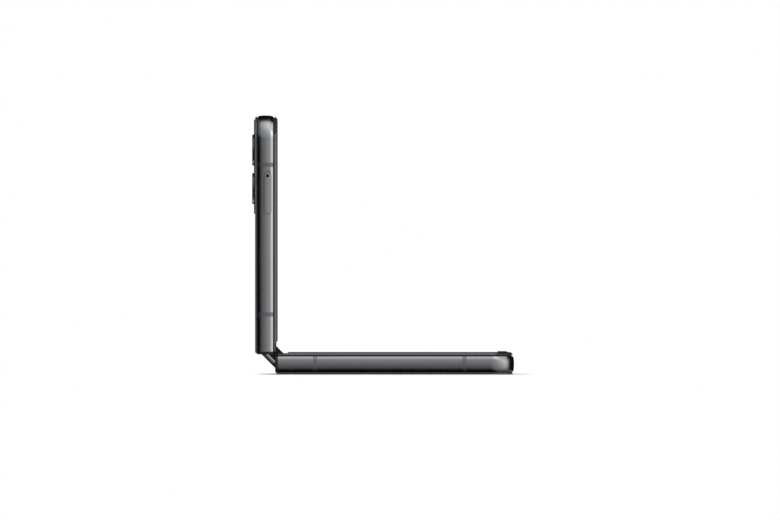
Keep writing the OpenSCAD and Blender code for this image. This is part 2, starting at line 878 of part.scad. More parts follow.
// ---- Spine ----
slider_length = 3.8;
slider_travel = slider_lead * (spine_tilt + 1) * PI / 180;
slider_half_width = axis_spacing + 0.6;
slider_gap = 0.1;
slider_top = -axis_depth - rotator_outer - 0.12;
slider_bottom = floor_top + 0.08;
pin_station = rotator_middle;
slider_bay = [pin_station - slider_length / 2 - slider_travel - slider_gap,
              pin_station + slider_length / 2 + slider_travel + slider_gap];
core_from_x = axis_spacing - 0.15;
spring_x = axis_spacing + 1.4;
spring_level = base_top + spring_diameter / 2 + 0.05;
spine_screw_places = [spring_from + 5, bracket_outer - outer_wall / 2];
spine_screw_radius = 0.5;
spine_screw_head = 1.6;
spine_screw_head_height = 0.35;
spine_screw_depth = 0.3;
wall_end_angle = wall_high - 4;

// Outline of the spine about both hinge axes, drawn in or out by a margin.
module spine_outline(margin) {
    radius = spine_radius + margin;
    for (side = [-1, 1]) translate([side * axis_spacing, -axis_depth]) circle(radius);
    area([-axis_spacing, -axis_depth - radius], [axis_spacing, -axis_depth + radius]);
}

// The part of the spine below the level at which its walls end.
module below_walls(angle) {
    reach = axis_spacing + spine_radius + 1;
    for (side = [0, 1]) mirror([side, 0]) polygon([
        [0, spine_bottom - 1], [reach, spine_bottom - 1],
        [axis_spacing + 2 * spine_radius * cos(angle), -axis_depth + 2 * spine_radius * sin(angle)],
        [axis_spacing, -axis_depth], [0, -axis_depth]
    ]);
}

module spine_cover() {
    color(rail_grey) in_spine() difference() {
        union() {
            across(-spine_half, spine_half) intersection() {
                difference() {
                    spine_outline(0);
                    spine_outline(-spine_wall);
                }
                below_walls(wall_high);
            }
            both_sides() across(spine_half - spine_rim_length, spine_half) intersection() {
                difference() {
                    spine_outline(0);
                    spine_outline(-spine_rim);
                }
                below_walls(wall_high);
            }
        }
        both_sides() for (y = spine_screw_places)
            translate([0, y, floor_top - spine_screw_depth])
                cylinder(r = spine_screw_radius + hinge_clearance, h = 1);
    }
}

// Black caps that close the ends of the spine, with a slot that guides the fold plate.
cap_top = -1.15;
cap_half = 4.1;
fold_plate_half = 1.4;
tongue_slot_gap = 0.08;

module hinge_end_caps() {
    color(ink_black) in_spine() both_sides() {
        difference() {
            union() {
                across(cap_inner, spine_half - spine_rim_length - hinge_clearance)
                    cap_outline(-spine_wall - hinge_clearance);
                across(spine_half - spine_rim_length - 2 * hinge_clearance, spine_half)
                    cap_outline(-spine_rim - hinge_clearance);
            }
            block([-fold_plate_half - tongue_slot_gap, cap_inner - eps,
                    closed_fold_bottom - tongue_slot_gap],
                [fold_plate_half + tongue_slot_gap, cap_inner + tongue_depth + 0.1, 0]);
        }
    }
}

tongue_depth = 0.9;

module cap_outline(margin) {
    intersection() {
        spine_outline(margin);
        union() {
            area([-cap_half, -axis_depth], [cap_half, cap_top]);
            below_walls(0);
        }
    }
}

// Room kept clear for the display's loop, from the flat pose to the closed one.
module display_room() {
    area([-display_room_half, display_room_bottom], [display_room_half, half_thickness]);
    area([-axis_spacing - spine_radius, -axis_depth + 0.2],
        [axis_spacing + spine_radius, half_thickness]);
}

module bracket_section(low, high) {
    difference() {
        both_folds() translate([axis_spacing, -axis_depth])
            ring_sector(guide_inner, guide_outer, low, high);
        display_room();
    }
}

// A full cross wall of a hinge bracket.
module bracket_wall() {
    difference() {
        intersection() {
            spine_outline(-spine_wall - hinge_clearance);
            below_walls(wall_end_angle);
        }
        display_room();
    }
}

module bracket_base() {
    area([-base_half, bracket_bottom], [base_half, base_top]);
}

module bracket_core() {
    for (side = [0, 1]) mirror([side, 0]) intersection() {
        translate([axis_spacing, -axis_depth]) circle(core_radius);
        area([core_from_x, -axis_depth - core_radius],
            [axis_spacing + core_radius, -axis_depth]);
        below_walls(wall_end_angle);
    }
}

// Brackets that hold the rotators in arc guides, with the seats for the torque springs.
module hinge_brackets() {
    color(steel) in_spine() both_sides() difference() {
        union() {
            across(bracket_outer - outer_wall, bracket_outer) bracket_wall();
            across(rotator_from, bracket_outer - outer_wall + eps) bracket_core();
            across(slider_bay[1], bracket_outer - outer_wall + eps) {
                bracket_section(guide_low, guide_high);
                bracket_base();
            }
            across(slider_bay[0] - eps, slider_bay[1] + eps)
                bracket_section(300, guide_high);
            across(follower_from + 0.1, slider_bay[0])
                bracket_section(270, guide_high);
            across(seat_from, slider_bay[0]) bracket_base();
            across(seat_from, spring_from) seat_section();
            across(spring_from - eps, follower_from + 0.2)
                bracket_section(rib_angle, guide_high);
        }
        for (y = spine_screw_places)
            translate([0, y, bracket_bottom - eps])
                cylinder(r = spine_screw_radius + hinge_clearance, h = base_thickness + 2 * eps);
        translate([0, bracket_outer - outer_wall / 2, base_top])
            cylinder(d = spine_screw_head + 0.2, h = 3);
    }
}

module seat_section() {
    intersection() {
        bracket_wall();
        union() {
            area([-axis_spacing - spine_radius, bracket_bottom],
                [-display_room_half, spring_level + spring_diameter / 2]);
            area([display_room_half, bracket_bottom],
                [axis_spacing + spine_radius, spring_level + spring_diameter / 2]);
        }
    }
}

// Followers that the springs press against the ends of the rotators.
module cam_followers() {
    color(gold) in_spine() both_sides() both_folds()
        across(follower_from, follower_from + follower_length)
            intersection() {
                translate([axis_spacing, -axis_depth]) difference() {
                    circle(guide_inner - 2 * hinge_clearance);
                    circle(rotator_inner - 1.3);
                }
                area([axis_spacing + 0.1, base_top + hinge_clearance],
                    [axis_spacing + spine_radius, spring_level + spring_diameter / 2 - 0.1]);
            }
}

// Points of a ring of the spring's wire about its helix.
function coil_ring(angle, radius, wire, rise, sides) =
    [for (k = [0 : sides - 1])
        let (b = 360 * k / sides, r = radius + wire * cos(b))
        [r * cos(angle), r * sin(angle), rise * angle / 360 + wire * sin(b)]];

module coil_spring(length, diameter, wire, turns) {
    sides = 5;
    per_turn = 8;
    rings = turns * per_turn;
    radius = (diameter - wire) / 2;
    rise = (length - wire) / turns;
    points = [for (i = [0 : rings])
        each coil_ring(i * 360 / per_turn, radius, wire / 2, rise, sides)];
    translate([0, 0, wire / 2]) polyhedron(points, concat(
        [[for (k = [0 : sides - 1]) k]],
        [for (i = [0 : rings - 1], k = [0 : sides - 1])
            let (a = i * sides + k, b = i * sides + (k + 1) % sides)
            each [[a, a + sides, b + sides], [a, b + sides, b]]],
        [[for (k = [sides - 1 : -1 : 0]) rings * sides + k]]
    ));
}

module torque_springs() {
    color(steel) in_spine() both_sides() both_folds()
        translate([spring_x, follower_from, spring_level]) rotate([90, 0, 0])
            coil_spring(follower_from - spring_from, spring_diameter, spring_wire, spring_turns);
}

// Rods inside the springs, which keep them straight.
module spring_guides() {
    radius = spring_diameter / 2 - spring_wire - 0.12;
    color(gold) in_spine() both_sides() both_folds()
        translate([spring_x, follower_from - 0.6, spring_level]) rotate([90, 0, 0])
            cylinder(r = radius, h = follower_from - 0.6 - spring_from);
}

module spine_screws() {
    color(steel) in_spine() both_sides() for (y = spine_screw_places)
        translate([0, y, 0]) {
            translate([0, 0, base_top]) difference() {
                cylinder(d = spine_screw_head, h = spine_screw_head_height);
                translate([0, 0, spine_screw_head_height / 2])
                    cylinder(d = spine_screw_head / 2, h = spine_screw_head_height, $fn = 6);
            }
            translate([0, 0, floor_top - spine_screw_depth + 0.05])
                cylinder(r = spine_screw_radius, h = base_top - floor_top + spine_screw_depth);
        }
}

// The flat cable between the halves: an oval loop in the spine, and a tail into each half.
cable_loop_bottom = floor_top + 0.3;

function spine_point(x, z) =
    [axis_spacing + (x - axis_inset) * cos(spine_tilt) - (z - axis_height) * sin(spine_tilt),
     -axis_depth + (x - axis_inset) * sin(spine_tilt) + (z - axis_height) * cos(spine_tilt)];

module flex_cable() {
    steps = 16;
    mouth = spine_point(axis_inset + rotator_outer + 0.3, cable_level);
    tail = spine_point(cable_end, cable_level);
    half = [for (i = [0 : steps])
        let (a = 90 * i / steps)
        [mouth[0] * sin(a), mouth[1] - (mouth[1] - cable_loop_bottom) * cos(a)]];
    line = concat([[-tail[0], tail[1]]], [for (i = [steps : -1 : 1]) [-half[i][0], half[i][1]]],
        half, [tail]);
    color(copper) in_spine() across(-cable_width / 2, cable_width / 2)
        ribbon(line, cable_thickness);
}

function unit(v) = v / norm(v);
function side_of(line, i) =
    let (last = len(line) - 1,
         along = unit(line[min(i + 1, last)] - line[max(i - 1, 0)]))
    [-along[1], along[0]];

// A strip of even thickness along a line of points.
module ribbon(line, thickness) {
    last = len(line) - 1;
    polygon(concat(
        [for (i = [0 : last]) line[i] + side_of(line, i) * thickness / 2],
        [for (i = [last : -1 : 0]) line[i] - side_of(line, i) * thickness / 2]
    ));
}

// Spring plate that carries the middle of the display and sinks as the phone closes.
module fold_plate() {
    rest_top = rest_neutral_bottom - display_thickness / 2 - fold_plate_gap;
    color(steel) in_spine() both_sides()
        block([-fold_plate_half, -eps, rest_top - fold_plate_thickness],
            [fold_plate_half, cap_inner + tongue_depth, rest_top]);
}

// The folding middle of the display, in the shape that it takes at the resting angle.
module fold_display() {
    steps = 8;
    straight = fold_start - 0.05 - rest_tangent_from_end;
    half = [for (i = [0 : steps])
        let (a = spine_tilt * i / steps)
        [rest_fold_radius * sin(a), rest_fold_centre - rest_fold_radius * cos(a)]];
    end = half[steps] + straight * [cos(spine_tilt), sin(spine_tilt)];
    line = concat([[-end[0], end[1]]], [for (i = [steps : -1 : 1]) [-half[i][0], half[i][1]]],
        half, [end]);
    color(ink_black) in_spine() across(-fold_display_half, fold_display_half)
        ribbon(line, display_thickness);
}

module timing_slider() {
    across(pin_station - slider_length / 2, pin_station + slider_length / 2)
        area([-slider_half_width, slider_bottom], [slider_half_width, slider_top]);
    for (side = [-1, 1]) translate([side * axis_spacing, pin_station, slider_top - eps])
        cylinder(d = timing_pin_diameter, h = rotator_outer - rotator_inner);
}

module front_timing_slider() {
    color(gold) in_spine() mirror([0, 1, 0]) timing_slider();
}

module rear_timing_slider() {
    color(gold) in_spine() timing_slider();
}

// ---- Upper half ----
lens_side = half_width - lens_from_side;
lens_places = [[half_length - lens_from_end, lens_side],
               [half_length - lens_from_end - lens_spacing, lens_side]];
island_middle = half_length - island_from_end - island_length / 2;
island_width = body_width - 2 * island_side_inset;
island_gap = 0.05;
ring_step = 0.5;
ring_shoulder = ring_diameter - 2 * ring_step - 2 * island_gap;
ring_bore = ring_diameter - 2 * ring_wall;
barrel_diameter = ring_bore - 2 * ring_step - 0.4;
camera_body = ring_diameter - 0.8;
camera_lip = 0.2;
ring_seat_depth = 0.55;
lens_seat = 0.25;
flash_place = [half_length - lens_from_end - lens_spacing / 2, lens_side - 8.2];
key_level = (rail_back + rail_front) / 2;
tray_middle = half_length - tray_from_free_end - tray_length / 2;
tray_level = rail_front - tray_width / 2 - 0.65;
pin_hole_place = tray_middle + tray_length / 2 - 1.2;
tray_thickness = 0.9;
tray_floor = 0.4;
tray_rim = 0.7;
tray_low = tray_middle - 5.6;
tray_high = tray_middle + 4.6;
main_board_top = mid_back - 1;
main_board_start = upper_battery_end + battery_gap;
main_board_end = inner_end - 3;
rocker_middle = half_length - rocker_from_free_end;
power_key_middle = rocker_middle - key_spacing;
earpiece_size = [2, 12];
earpiece_height = 2.6;
earpiece_slot = [0.5, 9];
earpiece_place = half_length - 1.35;

module island_plan(grow) {
    translate([island_middle, 0])
        round_rectangle([island_length + 2 * grow, island_width + 2 * grow],
            island_corner + grow);
}

module key_slot(middle, length, width, level) {
    translate([middle, inner_side - 1, level]) rotate([-90, 0, 0])
        linear_extrude(rail_wall + 3) capsule(length, width);
}

module upper_frame() {
    grow = 2 * key_clearance;
    color(rail_grey) in_upper_half() difference() {
        union() {
            frame_blank();
            for (p = main_board_screws) translate([p[0], p[1], main_board_top])
                cylinder(r = board_screw_radius, h = mid_back - main_board_top + eps);
        }
        for (p = main_board_screws) screw_hole(p[0], p[1], main_board_top, mid_back);
        key_slot(rocker_middle, rocker_length + grow, key_width + grow, key_level);
        key_slot(power_key_middle, power_key_length + grow, key_width + grow, key_level);
        mirror([0, 1, 0])
            key_slot(tray_middle, tray_length + grow, tray_width + grow, tray_level);
        translate([front_camera_x, 0, mid_back - eps])
            cylinder(d = front_camera_diameter + 2 * punch_hole_clearance, h = 2);
        block([earpiece_place - 1.4, -earpiece_slot[1] / 2, mid_back - 0.2],
            [earpiece_place + earpiece_slot[0] / 2, earpiece_slot[1] / 2, half_thickness]);
        translate([inner_end - 1, upper_microphone_side, key_level]) rotate([0, 90, 0])
            cylinder(d = microphone_hole, h = rail_wall + 2);
    }
}

module upper_antenna_bands() {
    in_upper_half() antenna_bands();
}

module upper_back_cover() {
    color(glass_grey) in_upper_half() difference() {
        back_cover_blank();
        translate([0, 0, -1]) linear_extrude(3) island_plan(island_gap);
    }
}

module upper_back_seal() {
    in_upper_half() back_seal();
}

module camera_glass() {
    color(ink_black) in_upper_half() difference() {
        union() {
            translate([0, 0, -island_height + camera_lip])
                linear_extrude(back_glass + island_height - camera_lip) island_plan(0);
            translate([0, 0, -island_height]) linear_extrude(camera_lip + eps)
                island_plan(-camera_lip);
        }
        for (p = lens_places) translate([p[0], p[1], -1])
            cylinder(d = ring_shoulder + 2 * island_gap, h = 3);
        translate([flash_place[0], flash_place[1], -1])
            cylinder(d = flash_diameter + 2 * island_gap, h = 3);
    }
}

module lens_rings() {
    chamfer = 0.25;
    color(steel) in_upper_half() for (p = lens_places)
        translate([p[0], p[1], -island_height]) rotate([180, 0, 0]) difference() {
            union() {
                cylinder(d = ring_diameter, h = ring_height - chamfer);
                translate([0, 0, ring_height - chamfer - eps])
                    cylinder(d1 = ring_diameter, d2 = ring_diameter - 2 * chamfer,
                        h = chamfer + eps);
                translate([0, 0, -0.8]) cylinder(d = ring_shoulder, h = 1);
            }
            translate([0, 0, -2]) cylinder(d = ring_bore - 2 * ring_step, h = 5);
            translate([0, 0, ring_height - ring_seat_depth]) cylinder(d = ring_bore, h = 5);
        }
}

module lens_covers() {
    color(ink_black) in_upper_half() for (p = lens_places)
        translate([p[0], p[1], -island_height - ring_height + 0.15])
            cylinder(d = ring_bore - 0.06, h = ring_seat_depth - 0.15);
}

module camera_modules() {
    color(cell_grey) in_upper_half() for (p = lens_places) {
        translate([p[0], p[1], back_glass + lens_seat])
            linear_extrude(mid_back - back_glass - lens_seat)
                round_rectangle([camera_body, camera_body + 1], 1);
        translate([p[0], p[1], -island_height - ring_height + 0.6])
            cylinder(d = barrel_diameter, h = back_glass + island_height + ring_height);
    }
}

module flash_lens() {
    color("white") in_upper_half() translate([flash_place[0], flash_place[1], 0])
        translate([0, 0, -island_height + 0.05])
            cylinder(d = flash_diameter, h = back_glass + island_height - 0.05);
}

module cover_display() {
    cover_display_length = 27;
    cover_display_side = 2.5;
    camera_strip = 19.1;
    cover_display_width = island_width - cover_display_side - camera_strip;
    color(cell_grey) in_upper_half()
        translate([island_middle, -island_width / 2 + cover_display_side + cover_display_width / 2,
            back_glass]) linear_extrude(0.3)
                round_rectangle([cover_display_length, cover_display_width], 3);
}

module upper_bezel() {
    color(ink_black) in_upper_half() difference() {
        bezel_blank();
        translate([earpiece_place, 0, 0]) linear_extrude(half_thickness + 1)
            square(earpiece_slot, center = true);
    }
}

module upper_display() {
    color(ink_black) in_upper_half() difference() {
        display_blank();
        front_camera_hole();
    }
}

module front_camera_hole() {
    translate([front_camera_x, 0, plate_back - 1])
        cylinder(d = front_camera_diameter + 2 * punch_hole_clearance, h = 4);
}

module upper_support_plate() {
    color(steel) in_upper_half() difference() {
        support_plate_blank();
        front_camera_hole();
    }
}

module upper_battery() {
    color(cell_grey) in_upper_half()
        translate([(battery_start + upper_battery_end) / 2, 0, battery_back])
            linear_extrude(mid_back - battery_back)
                round_rectangle([upper_battery_end - battery_start, upper_battery_width],
                    battery_round);
}

main_board_side = -inner_side + 3 + tray_depth;
main_board_far_side = lens_side - camera_body / 2 - 1.2;

module main_board() {
    color(board_green) in_upper_half() difference() {
        block([main_board_start, main_board_side, main_board_top - board_thickness],
            [main_board_end, main_board_far_side, main_board_top]);
        translate([front_camera_x, 0, 0]) cylinder(d = front_camera_diameter + 1.4, h = 8);
        for (p = main_board_screws)
            screw_hole(p[0], p[1], main_board_top - board_thickness, main_board_top);
    }
}

main_board_screws = [[main_board_start + 2, main_board_side + 2],
                     [main_board_end - 2, main_board_side + 2],
                     [main_board_end - 2, main_board_far_side - 2]];

module board_shields() {
    level = main_board_top - board_thickness;
    wall = 0.2;
    height = 1.4;
    inset = 4.5;
    gap = 2;
    length = (main_board_end - main_board_start - 2 * inset - gap) / 2;
    shields = [for (i = [0, 1]) [main_board_start + inset + i * (length + gap),
        main_board_side + inset, length, 14]];
    color(steel) in_upper_half() for (s = shields)
        translate([s[0], s[1], level - height]) difference() {
            cube([s[2], s[3], height]);
            translate([wall, wall, wall]) cube([s[2] - 2 * wall, s[3] - 2 * wall, height]);
        }
}

module earpiece() {
    color(cell_grey) in_upper_half()
        translate([inner_end - 0.3 - earpiece_size[0] / 2, 0, mid_back - earpiece_height])
            linear_extrude(earpiece_height) round_rectangle(earpiece_size, 0.6);
}

module front_camera() {
    color(ink_black) in_upper_half() translate([front_camera_x, 0, 0]) {
        translate([0, 0, mid_back - 3]) cylinder(d = front_camera_diameter + 1, h = 2.9);
        translate([0, 0, mid_back - 0.2])
            cylinder(d = front_camera_diameter, h = display_front - 0.15 - mid_back + 0.2);
    }
}

// Keys stand in the rail's slots, with a flange behind the rail that keeps them in.
key_flange = 0.5;
key_flange_overhang = 0.45;
key_travel = 0.3;
key_cap_edge = 0.15;
switch_dome_height = 0.2;
switch_dome_radius = 0.8;
rocker_switch_offset = 6;
power_key_gap = 0.03;
rocker_gap = 0.2;
switch_thickness = 0.6;

// The gap is that between the flange and the inside of the rail.
module key(middle, length, gap) {
    face = half_width - rail_draw(key_level) + key_proud;
    start = inner_side - gap - key_flange;
    overhang = 2 * key_flange_overhang;
    translate([middle, start, key_level]) rotate([-90, 0, 0]) {
        linear_extrude(key_flange) capsule(length + overhang, key_width + overhang);
        linear_extrude(face - start - key_cap_edge) capsule(length, key_width);
        translate([0, 0, face - start - key_cap_edge - eps]) linear_extrude(key_cap_edge + eps)
            capsule(length - 2 * key_cap_edge, key_width - 2 * key_cap_edge);
    }
}

module volume_rocker() {
    color(rail_grey) in_upper_half() key(rocker_middle, rocker_length, rocker_gap);
}

module power_key() {
    color(rail_grey) in_upper_half()
        key(power_key_middle, power_key_length, power_key_gap);
}

// Switch strips behind the keys, hung from the middle plate.
module key_switches() {
    color(steel) in_upper_half()
        for (k = [[power_key_middle, power_key_length, power_key_gap, [0]],
                  [rocker_middle, rocker_length, rocker_gap,
                   [-rocker_switch_offset, rocker_switch_offset]]]) {
            face = inner_side - k[2] - key_flange - key_travel;
            block([k[0] - k[1] / 2 - 1, face - switch_thickness, key_level - 1],
                [k[0] + k[1] / 2 + 1, face - switch_dome_height, mid_back]);
            for (x = k[3]) translate([k[0] + x, face - switch_dome_height - eps, key_level])
                rotate([-90, 0, 0]) cylinder(r = switch_dome_radius, h = switch_dome_height + eps);
        }
}

module card_tray() {
    color(rail_grey) in_upper_half() mirror([0, 1, 0]) {
        difference() {
            intersection() {
                translate([tray_middle, inner_side, tray_level]) rotate([-90, 0, 0])
                    linear_extrude(rail_wall + 1) capsule(tray_length, tray_width);
                straight_rail();
            }
            translate([pin_hole_place, inner_side - 1, tray_level]) rotate([-90, 0, 0])
                cylinder(d = tray_pin_hole, h = rail_wall + 2);
        }
        difference() {
            block([tray_low, inner_side - tray_depth, tray_level - tray_thickness / 2],
                [tray_high, inner_side + 0.2, tray_level + tray_thickness / 2]);
            block([tray_low + tray_rim, inner_side - tray_depth + 2 * tray_rim,
                    tray_level - tray_thickness / 2 + tray_floor],
                [tray_high - tray_rim, inner_side - 2 * tray_rim, tray_level + tray_thickness]);
        }
    }
}

// Metal shell that the card tray slides into.
module card_reader() {
    wall = 0.2;
    gap = 0.12;
    low = [tray_low - gap - wall, inner_side - tray_depth - 0.6,
           tray_level - tray_thickness / 2 - gap - wall];
    high = [tray_high + gap + wall, inner_side - 0.2,
            tray_level + tray_thickness / 2 + gap + wall];
    color(steel) in_upper_half() mirror([0, 1, 0]) difference() {
        block(low, high);
        block([low[0] + wall, low[1] + wall, low[2] + wall],
            [high[0] - wall, high[1] + 1, high[2] - wall]);
    }
}

module upper_screws() {
    color(steel) in_upper_half() {
        half_hinge_screws();
        for (p = main_board_screws)
            screw(p[0], p[1], main_board_top - board_thickness, mid_back - 0.1);
    }
}

module upper_hinge_plates() {
    in_upper_half() hinge_plates();
}

module upper_rotators() {
    in_upper_half() rotators();
}

lower_frame();
lower_antenna_bands();
lower_back_cover();
lower_back_seal();
lower_bezel();
lower_bumpers();
lower_display();
lower_support_plate();
lower_battery();
lower_board();
usb_shell();
usb_tongue();
loudspeaker();
vibration_motor();
charging_coil();
lower_screws();
lower_hinge_plates();
lower_rotators();
spine_cover();
hinge_end_caps();
hinge_brackets();
cam_followers();
torque_springs();
spring_guides();
spine_screws();
flex_cable();
fold_plate();
fold_display();
front_timing_slider();
rear_timing_slider();
upper_frame();
upper_antenna_bands();
upper_back_cover();
upper_back_seal();
camera_glass();
lens_rings();
lens_covers();
camera_modules();
flash_lens();
cover_display();
upper_bezel();
upper_display();
upper_support_plate();
upper_battery();
main_board();
board_shields();
earpiece();
front_camera();
volume_rocker();
power_key();
key_switches();
card_tray();
card_reader();
upper_screws();
upper_hinge_plates();
upper_rotators();
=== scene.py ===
import math

import bpy
from mathutils import Matrix, Vector


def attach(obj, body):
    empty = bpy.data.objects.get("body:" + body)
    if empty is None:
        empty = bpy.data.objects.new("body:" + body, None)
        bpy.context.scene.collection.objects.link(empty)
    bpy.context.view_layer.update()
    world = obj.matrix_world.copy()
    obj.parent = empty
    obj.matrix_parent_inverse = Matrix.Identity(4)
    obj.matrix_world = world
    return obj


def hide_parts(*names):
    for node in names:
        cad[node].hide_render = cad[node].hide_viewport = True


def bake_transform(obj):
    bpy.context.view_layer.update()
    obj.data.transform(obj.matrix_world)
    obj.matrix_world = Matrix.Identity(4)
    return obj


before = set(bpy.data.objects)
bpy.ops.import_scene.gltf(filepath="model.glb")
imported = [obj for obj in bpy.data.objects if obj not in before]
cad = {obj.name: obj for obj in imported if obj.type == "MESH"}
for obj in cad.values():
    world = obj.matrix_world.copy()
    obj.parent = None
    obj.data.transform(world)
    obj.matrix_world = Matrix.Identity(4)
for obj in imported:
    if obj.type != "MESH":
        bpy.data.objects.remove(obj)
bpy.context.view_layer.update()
mm = 0.001

# ---- The table, the lights and the camera ----
# The phone stands on a pale table in a soft white studio. A long lens looks level along the
# fold, so that both halves are seen from the side. Near the phone the table shows its shadow,
# and further out it fades into the white of the room.
def deselect():
    if bpy.context.object and bpy.context.object.mode != "OBJECT":
        bpy.ops.object.mode_set(mode="OBJECT")
    bpy.ops.object.select_all(action="DESELECT")


def link(nodes, output, socket):
    nodes.id_data.links.new(output, socket)


def calculate(nodes, operation, first, second=None):
    """One step of arithmetic. Each input is another node's output or a plain number."""
    step = nodes.new("ShaderNodeMath")
    step.operation = operation
    for socket, value in zip(step.inputs, (first, second)):
        if isinstance(value, bpy.types.NodeSocket):
            link(nodes, value, socket)
        elif value is not None:
            socket.default_value = value
    return step.outputs[0]


camera_data = bpy.data.cameras.new("camera")
camera_data.lens = 1100
camera_data.sensor_width = 36
camera_data.clip_end = 60
camera = bpy.data.objects.new("camera", camera_data)
camera.location = (-1.6 * mm, -8.26, 39.5 * mm)
camera.rotation_euler = (math.radians(90), 0, 0)
bpy.context.collection.objects.link(camera)
bpy.context.scene.camera = camera

bpy.context.scene.view_settings.view_transform = "Standard"
world = bpy.data.worlds.new("studio")
world.use_nodes = True
bpy.context.scene.world = world
nodes = world.node_tree.nodes
nodes.clear()
rays = nodes.new("ShaderNodeLightPath")
seen = calculate(nodes, "MAXIMUM", rays.outputs["Is Camera Ray"], rays.outputs["Is Glossy Ray"])
seen_through = calculate(nodes, "MAXIMUM", seen, rays.outputs["Is Transmission Ray"])
soft = nodes.new("ShaderNodeBackground")
soft.inputs["Color"].default_value = (0.96, 0.98, 1, 1)
soft.inputs["Strength"].default_value = 0.75
white = nodes.new("ShaderNodeBackground")
white.inputs["Color"].default_value = (1, 1, 1, 1)
white.inputs["Strength"].default_value = 1
either = nodes.new("ShaderNodeMixShader")
link(nodes, seen_through, either.inputs["Fac"])
link(nodes, soft.outputs[0], either.inputs[1])
link(nodes, white.outputs[0], either.inputs[2])
out = nodes.new("ShaderNodeOutputWorld")
link(nodes, either.outputs[0], out.inputs["Surface"])

deselect()
bpy.ops.mesh.primitive_circle_add(vertices=128, radius=14, fill_type="TRIFAN")
table = bpy.context.object
table.name = "table"
table.location = (0, 0, -0.05 * mm)
paint = bpy.data.materials.new("table_white")
paint.use_nodes = True
nodes = paint.node_tree.nodes
nodes.clear()
place = nodes.new("ShaderNodeTexCoord")
parts = nodes.new("ShaderNodeSeparateXYZ")
link(nodes, place.outputs["Object"], parts.inputs[0])
beyond = nodes.new("ShaderNodeCombineXYZ")
for axis, reach, fall in (("X", 0.042, 16), ("Y", 0.035, 2.6)):
    past = calculate(nodes, "SUBTRACT",
                     calculate(nodes, "ABSOLUTE", parts.outputs[axis]), reach)
    outside = calculate(nodes, "MAXIMUM", past, 0)
    link(nodes, calculate(nodes, "MULTIPLY", outside, fall), beyond.inputs[axis])
distance_out = nodes.new("ShaderNodeVectorMath")
distance_out.operation = "LENGTH"
link(nodes, beyond.outputs[0], distance_out.inputs[0])
edge = nodes.new("ShaderNodeMapRange")
edge.interpolation_type = "SMOOTHSTEP"
edge.inputs["From Min"].default_value = 0
edge.inputs["From Max"].default_value = 0.13
link(nodes, distance_out.outputs["Value"], edge.inputs["Value"])
near = nodes.new("ShaderNodeBsdfDiffuse")
near.inputs["Color"].default_value = (0.86, 0.86, 0.86, 1)
far = nodes.new("ShaderNodeEmission")
far.inputs["Color"].default_value = (1, 1, 1, 1)
far.inputs["Strength"].default_value = 1
rays = nodes.new("ShaderNodeLightPath")
seen = calculate(nodes, "MULTIPLY", edge.outputs["Result"], rays.outputs["Is Camera Ray"])
either = nodes.new("ShaderNodeMixShader")
link(nodes, seen, either.inputs["Fac"])
link(nodes, near.outputs[0], either.inputs[1])
link(nodes, far.outputs[0], either.inputs[2])
out = nodes.new("ShaderNodeOutputMaterial")
link(nodes, either.outputs[0], out.inputs["Surface"])
table.data.materials.append(paint)
table.visible_glossy = False

# A big tent round the studio, seen only in reflections: light above and at the right, and
# darker low down and at the left, so that satin metal shows its shape.
deselect()
bpy.ops.mesh.primitive_uv_sphere_add(segments=48, ring_count=24, radius=6)
tent = bpy.context.object
tent.name = "tent"
cloth = bpy.data.materials.new("tent_grey")
cloth.use_nodes = True
nodes = cloth.node_tree.nodes
nodes.clear()
place = nodes.new("ShaderNodeTexCoord")
toward = nodes.new("ShaderNodeVectorMath")
toward.operation = "NORMALIZE"
link(nodes, place.outputs["Object"], toward.inputs[0])
parts = nodes.new("ShaderNodeSeparateXYZ")
link(nodes, toward.outputs[0], parts.inputs[0])
slope = calculate(nodes, "ADD", parts.outputs["X"], parts.outputs["Z"])
tent_strength = 2.1


def tones(measure, steps):
    """A ramp of greys along a measure of direction, given as places and levels."""
    shift = nodes.new("ShaderNodeMapRange")
    shift.inputs["From Min"].default_value = -1.5
    shift.inputs["From Max"].default_value = 1.5
    link(nodes, measure, shift.inputs["Value"])
    ramp = nodes.new("ShaderNodeValToRGB")
    ramp.color_ramp.interpolation = "LINEAR"
    first, last = ramp.color_ramp.elements
    first.color = (steps[0][1],) * 3 + (1,)
    last.color = (steps[-1][1],) * 3 + (1,)
    for place_at, level in steps:
        stop = ramp.color_ramp.elements.new((place_at + 1.5) / 3)
        stop.color = (level, level, level, 1)
    link(nodes, shift.outputs["Result"], ramp.inputs["Fac"])
    return ramp.outputs["Color"]


def fade(measure, between, levels):
    """Smooth change from one level to another."""
    change = nodes.new("ShaderNodeMapRange")
    change.interpolation_type = "SMOOTHSTEP"
    for socket, value in zip(("From Min", "From Max", "To Min", "To Max"), between + levels):
        change.inputs[socket].default_value = value
    link(nodes, measure, change.inputs["Value"])
    return change.outputs["Result"]


def distance(axis):
    """Absolute reach of a direction along an axis."""
    return calculate(nodes, "ABSOLUTE", parts.outputs[axis])


front_light = calculate(
    nodes, "MULTIPLY", fade(parts.outputs["Y"], (-0.15, 0.3), (1, 0)),
    tones(slope, ((-0.5, 0.003), (-0.3, 0.05), (-0.15, 0.14), (-0.05, 0.2), (0.02, 0.27),
                  (0.09, 0.33), (0.16, 0.36), (0.43, 0.38), (0.6, 0.46), (0.69, 0.57),
                  (0.8, 0.6), (0.93, 0.8), (1.0, 1.0), (1.08, 0.75), (1.2, 0.5))))
edge_light = calculate(
    nodes, "MULTIPLY", fade(parts.outputs["Y"], (-0.1, 0.2), (0, 1)),
    tones(calculate(nodes, "MINIMUM", parts.outputs["X"], parts.outputs["Z"]),
          ((-0.95, 1.35), (-0.8, 0.5), (-0.72, 0.0))))
corner_light = calculate(nodes, "MULTIPLY", fade(distance("X"), (0.3, 0.5), (0, 0.3)),
                         fade(distance("Z"), (0.2, 0.36), (0, 1)))
